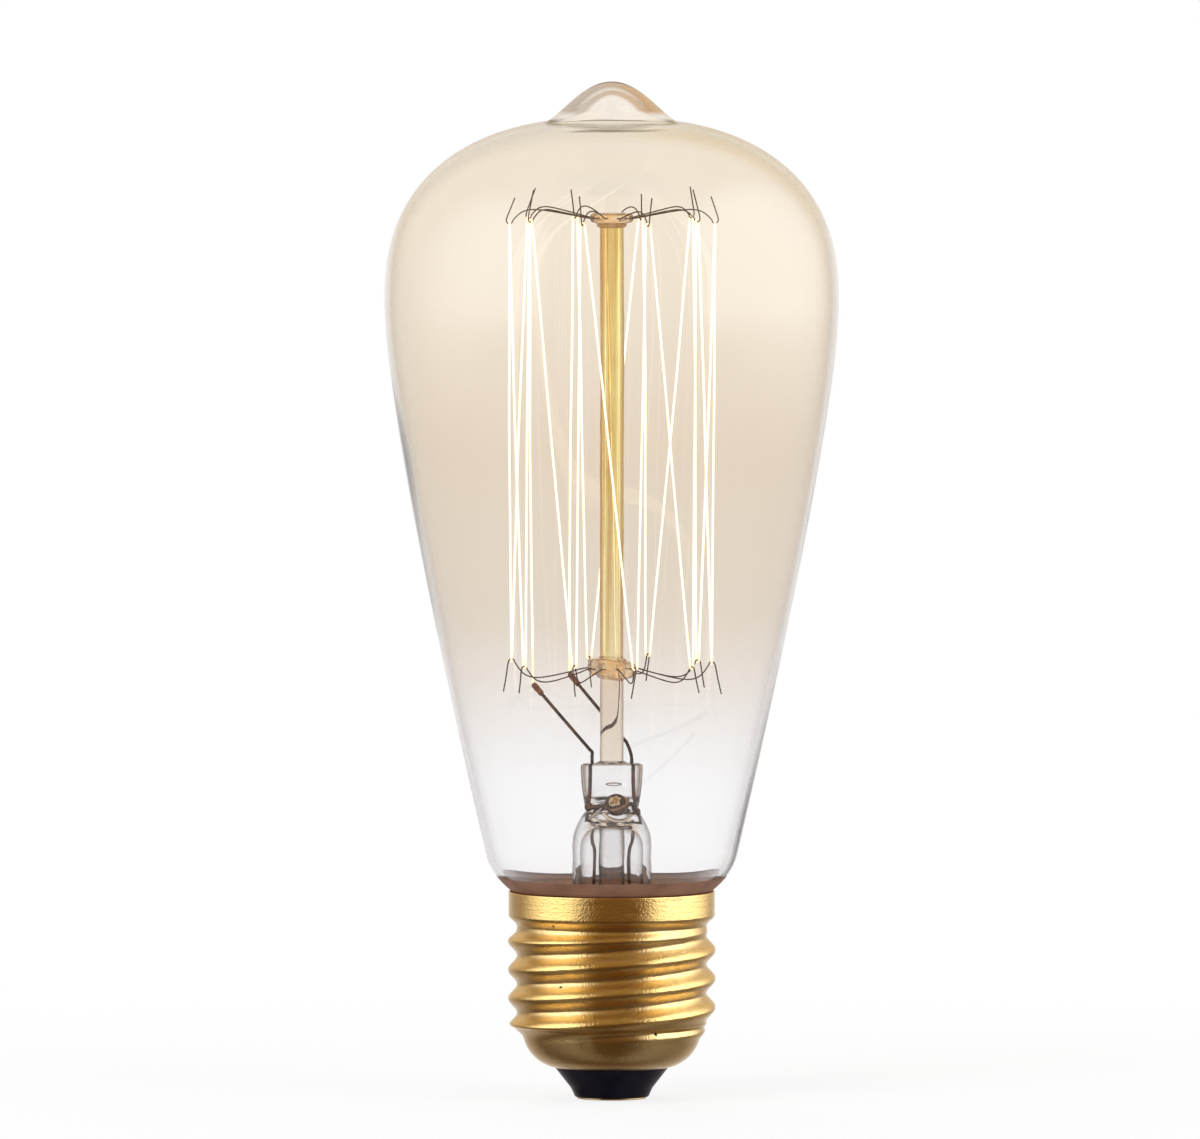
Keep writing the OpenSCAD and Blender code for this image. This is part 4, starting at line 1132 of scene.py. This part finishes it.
def outer_lead_left():
    """Down the tube, out under the seal and up beside the neck to the side solder."""
    channel = NECK_R + 0.135 + LEAD_R
    start = np.array([-LEAD_X, 0, 0])
    foot = channel * out_at(SOLDER_AZ)
    way = unit(foot - start)
    under = SEAL_Z - 1.3
    turn = SEAL_Z - 0.65
    skirt_in = SKIRT_R - SHEET_T
    path = [start + up(SEAL_LOW), *[(x, 0, z) for x, z in LEFT_KINKS], start + up(SEAL_Z + 1)]
    path += [start + up(turn), start + way + up(under)]
    path += [foot - way + up(under), foot + up(turn), foot + up(SEAL_Z)]
    beside_neck = [(channel, SKIRT_Z - SKIRT_NECK_H), (channel + 0.45, SKIRT_Z + 0.2)]
    to_solder = [(skirt_in - 0.5, SOLDER_Z - 0.5), (skirt_in - 0.1, SOLDER_Z), (SKIRT_R + 0.1, SOLDER_Z)]
    for r, z in beside_neck + to_solder:
        path.append(r * out_at(SOLDER_AZ) + up(z))
    return sweep(rounded(path, 6), LEAD_R, 12)


def outer_lead_right():
    """Down the tube, past the exhaust tube's tip and through the rivet."""
    tip = EXHAUST_LOW[2]
    dip = tip - 2.4
    path = [(LEAD_X, 0, SEAL_LOW), *[(x, 0, z) for x, z in RIGHT_KINKS], (LEAD_X, 0, tip + 1)]
    path += [(LEAD_X - 0.5, 0, tip - 1), (0.5, 0, dip), (0, 0, dip - 1), (0, 0, 0.4)]
    return sweep(rounded(path, 6), LEAD_R, 12)


def lamp():
    # Face colour, then the painted edge shade's colour; pressed is the painted edge shade over the press
    clear = clear_glass(
        "clear_glass", (0.96, 0.95, 0.95), (0.08, 0.055, 0.045), 0.06, pressed=(0.2, 0.13, 0.09),
    )
    tin = solder()
    copper = wire_metal("lead_copper", (0.04, 0.02, 0.015), (0.2, 0.09, 0.05))
    sealed = wire_metal("seal_copper", (0.06, 0.025, 0.015), (0.3, 0.12, 0.06))
    nickel = wire_metal("lead_nickel", (0.02, 0.014, 0.012), (0.16, 0.09, 0.06))
    crimped = wire_metal("crimp_metal", (0.11, 0.032, 0.018), (0.36, 0.14, 0.08), 0.7, 0.4)
    hooks = wire_metal("support_wire", (0.05, 0.03, 0.02), (0.1, 0.06, 0.04), 0.0, 0.6, 0.15)
    piece("blown_envelope", envelope(), amber_glass(), ["glass_envelope"])
    piece("rolled_shell", cap_shell(), brass(), ["cap_shell"])
    piece("insulator_cone", cap_insulator(), black_glass(), ["cap_insulator"])
    piece("contact_plate", contact(), contact_brass(), ["centre_contact"])
    piece("centre_drop", centre_solder(), tin, ["centre_solder"])
    piece("side_drop", side_solder(), tin, ["side_solder"])
    piece("cement_ring", basing_cement(), cement(), ["basing_cement"])
    piece("neck_film", film(), cement_film(), [])
    piece("stem_and_press", stem(), clear, ["glass_stem"])
    piece("exhaust_knot", knot(), knot_glass(), [])
    # Tan lip glass with brown painted edge shade
    lip = clear_glass(
        "lip_glass", (0.95, 0.86, 0.72), (0.2, 0.1, 0.05), 0.3, (0.9, 0.85, 0.8), edges=(0.2, 0.7),
    )
    piece("exhaust_lip", knot_lips(), lip, [])
    # Nearly clear pump tube with grey painted edge shade
    pumped = clear_glass(
        "pump_glass", (0.98, 0.97, 0.97), (0.24, 0.2, 0.18), ior=1.08, edges=(0.14, 0.55),
    )
    piece("pump_tube", exhaust(), pumped, ["exhaust_tube"])
    piece("glass_cane", rod(), rod_glass(), ["arbor_rod"])
    tan = button_glass()
    piece("lower_bead", lower_button(), tan, ["lower_button"])
    piece("upper_bead", upper_button(), tan, ["upper_button"])
    supports(hooks)
    piece("cage_wire", filament(), glowing_wire(), ["filament"])
    pairs = (
        ("sleeve", "crimp", crimped, "crimp_metal",
         crimp(CRIMP_LEFT, LEFT_DIR, CRIMP_LEFT_LEN), crimp(CRIMP_RIGHT, RIGHT_DIR, CRIMP_RIGHT_LEN)),
        ("lead_in", "inner_lead", nickel, "lead_nickel",
         inner_lead(-LEAD_X, LEFT_BENDS, LEFT_DIR, CRIMP_LEFT),
         inner_lead(LEAD_X, RIGHT_BENDS, RIGHT_DIR, CRIMP_RIGHT)),
        ("sealed", "seal_wire", sealed, "seal_copper", seal_wire(-LEAD_X), seal_wire(LEAD_X)),
        ("lead_out", "outer_lead", copper, "lead_copper", outer_lead_left(), outer_lead_right()),
    )
    for name, node, finish, slot, *both in pairs:
        for side, shape in zip(("left", "right"), both):
            piece(f"{name}_{side}", shape, finish, [f"{node}_{side}"])


# Studio
# Soft panels that metal and glass mirror: side, near edge and softness, far edge and softness, top, strength.
# Depth and height are shares of the distance across.
PANELS = [(-1, -1.3, 0.45, 0.15, 0.6, 1.3, 2.2), (1, -0.95, 0.35, 0.7, 0.8, 1.3, 2.4)]
ROOM = ((0.3, (0.09, 0.055, 0.03)), (0.5, (0.18, 0.1, 0.045)), (0.8, (0.3, 0.2, 0.09)))
BACK = (0.45, 0.4, 0.38)
BEHIND = (0.95, 0.93, 0.92)
ABOVE = (0.74, 0.61, 0.45)
CEILING = (0.84, 0.76, 0.67)


def studio_light(t, direction):
    """What metal and glass mirror: two tall soft panels in a dim warm room."""
    x, y, z = t.axes(direction)
    total = t.ramp(t.span(z, -1.0, 1.0), *ROOM)
    back = t.mix(t.fade(z, 0.0, 0.25), BACK, ABOVE)
    total = t.mix(t.fade(y, 0.35, 0.85), total, back)
    behind = t.mix(t.fade(z, -0.03, 0.12), BEHIND, ABOVE)
    total = t.mix(t.fade(y, 0.86, 0.98), total, behind)
    for side, near, near_soft, far, far_soft, top, strength in PANELS:
        across = t.math("MAXIMUM", t.times(x, side), 0.0001)
        depth, height = t.math("DIVIDE", y, across), t.math("DIVIDE", z, across)
        wide = t.times(t.fade(depth, near - near_soft, near + near_soft),
                       t.fade(depth, far + far_soft, far - far_soft))
        tall = t.times(t.fade(height, -0.3, -0.03, 0.07, 1.0),
                       t.fade(height, top + 0.5, top - 0.5))
        total = t.mix(t.times(wide, tall), total, [strength] * 3)
    return total


def world():
    t = Tree(bpy.data.worlds.new("studio"))
    rays = t.add("ShaderNodeLightPath").outputs
    direction = t.add("ShaderNodeTexCoord").outputs["Generated"]
    unseen = t.mix(rays["Is Glossy Ray"], (0.55, 0.55, 0.55), studio_light(t, direction))
    above = t.fade(t.axes(direction)[2], 0.3, 0.75)
    through = t.mix(above, (1, 1, 1), CEILING)
    colour = t.mix(rays["Is Transmission Ray"], unseen, through)
    back = t.add("ShaderNodeBackground", {"Color": t.mix(rays["Is Camera Ray"], colour, (1, 1, 1))})
    t.add("ShaderNodeOutputWorld", {"Surface": back.outputs[0]})
    bpy.context.scene.world = t.owner


def floor():
    """A wide pale floor that keeps the lamp's shadow, and is seen as white."""
    mesh = bpy.data.meshes.new("studio_floor")
    half = 4.0
    corners = [(-half, -half, 0), (half, -half, 0), (half, half, 0), (-half, half, 0)]
    mesh.from_pydata(corners, [], [(0, 1, 2, 3)])
    t, where = material("studio_floor")
    rays = t.add("ShaderNodeLightPath").outputs
    seen = t.math("MAXIMUM", rays["Is Camera Ray"], rays["Is Transmission Ray"])
    away = t.radius(where)
    pale = t.add("ShaderNodeBsdfDiffuse", {"Color": (0.86, 0.86, 0.86, 1)})
    white = t.add("ShaderNodeEmission", {"Color": (1, 1, 1, 1)})
    share = t.times(seen, t.fade(away, 0.03, 0.2, 0.82, 1.0))
    top = t.add("ShaderNodeMixShader", {0: share, 1: pale.outputs[0], 2: white.outputs[0]})
    open_air = t.add("ShaderNodeBsdfTransparent")
    mirrored = t.times(rays["Is Glossy Ray"], t.less(1.0, seen))
    back = t.add("ShaderNodeNewGeometry").outputs["Backfacing"]
    gone = t.math("MAXIMUM", back, mirrored)
    both = t.add("ShaderNodeMixShader", {0: gone, 1: top.outputs[0], 2: open_air.outputs[0]})
    mesh.materials.append(t.out(both.outputs[0]))
    placed("studio_floor", mesh)


def aimed(name, data, place, way):
    """A lamp or camera that stands at a place and looks along a way."""
    made = placed(name, data)
    made.location = place
    made.rotation_mode = "QUATERNION"
    made.rotation_quaternion = way.to_track_quat("-Z", "Y")
    return made


def softbox(name, az, height, distance, size, power):
    """A large soft lamp that looks at the lamp's middle."""
    data = bpy.data.lights.new(name, "AREA")
    data.shape = "RECTANGLE"
    data.size, data.size_y = size
    data.energy = power
    place = Vector(distance * out_at(az) + up(height))
    made = aimed(name, data, place, Vector((0, 0, TOP_Z * MM / 2)) - place)
    made.visible_glossy = False
    made.visible_transmission = False


def camera():
    """The photograph's view: nearly level, from far off."""
    distance = 3.0
    seen_width = 0.1515
    elevation = 3.3
    target = Vector((-1.48 * MM, 0, 67.05 * MM))
    data = bpy.data.cameras.new("camera")
    data.sensor_width = 36
    data.lens = data.sensor_width * distance / seen_width
    data.clip_start = 0.1
    data.clip_end = 20
    back = Vector((0, -cosd(elevation), sind(elevation)))
    bpy.context.scene.camera = aimed("camera", data, target + distance * back, -back)


camera()
lamp()
world()
floor()
softbox("left_panel", -130, 0.7, 1.1, (0.6, 0.9), 9)
softbox("right_panel", -35, 0.5, 1.1, (0.5, 0.9), 5)
softbox("back_panel", 100, 0.9, 1.2, (0.9, 0.6), 5)
bpy.context.scene.view_settings.view_transform = "Standard"
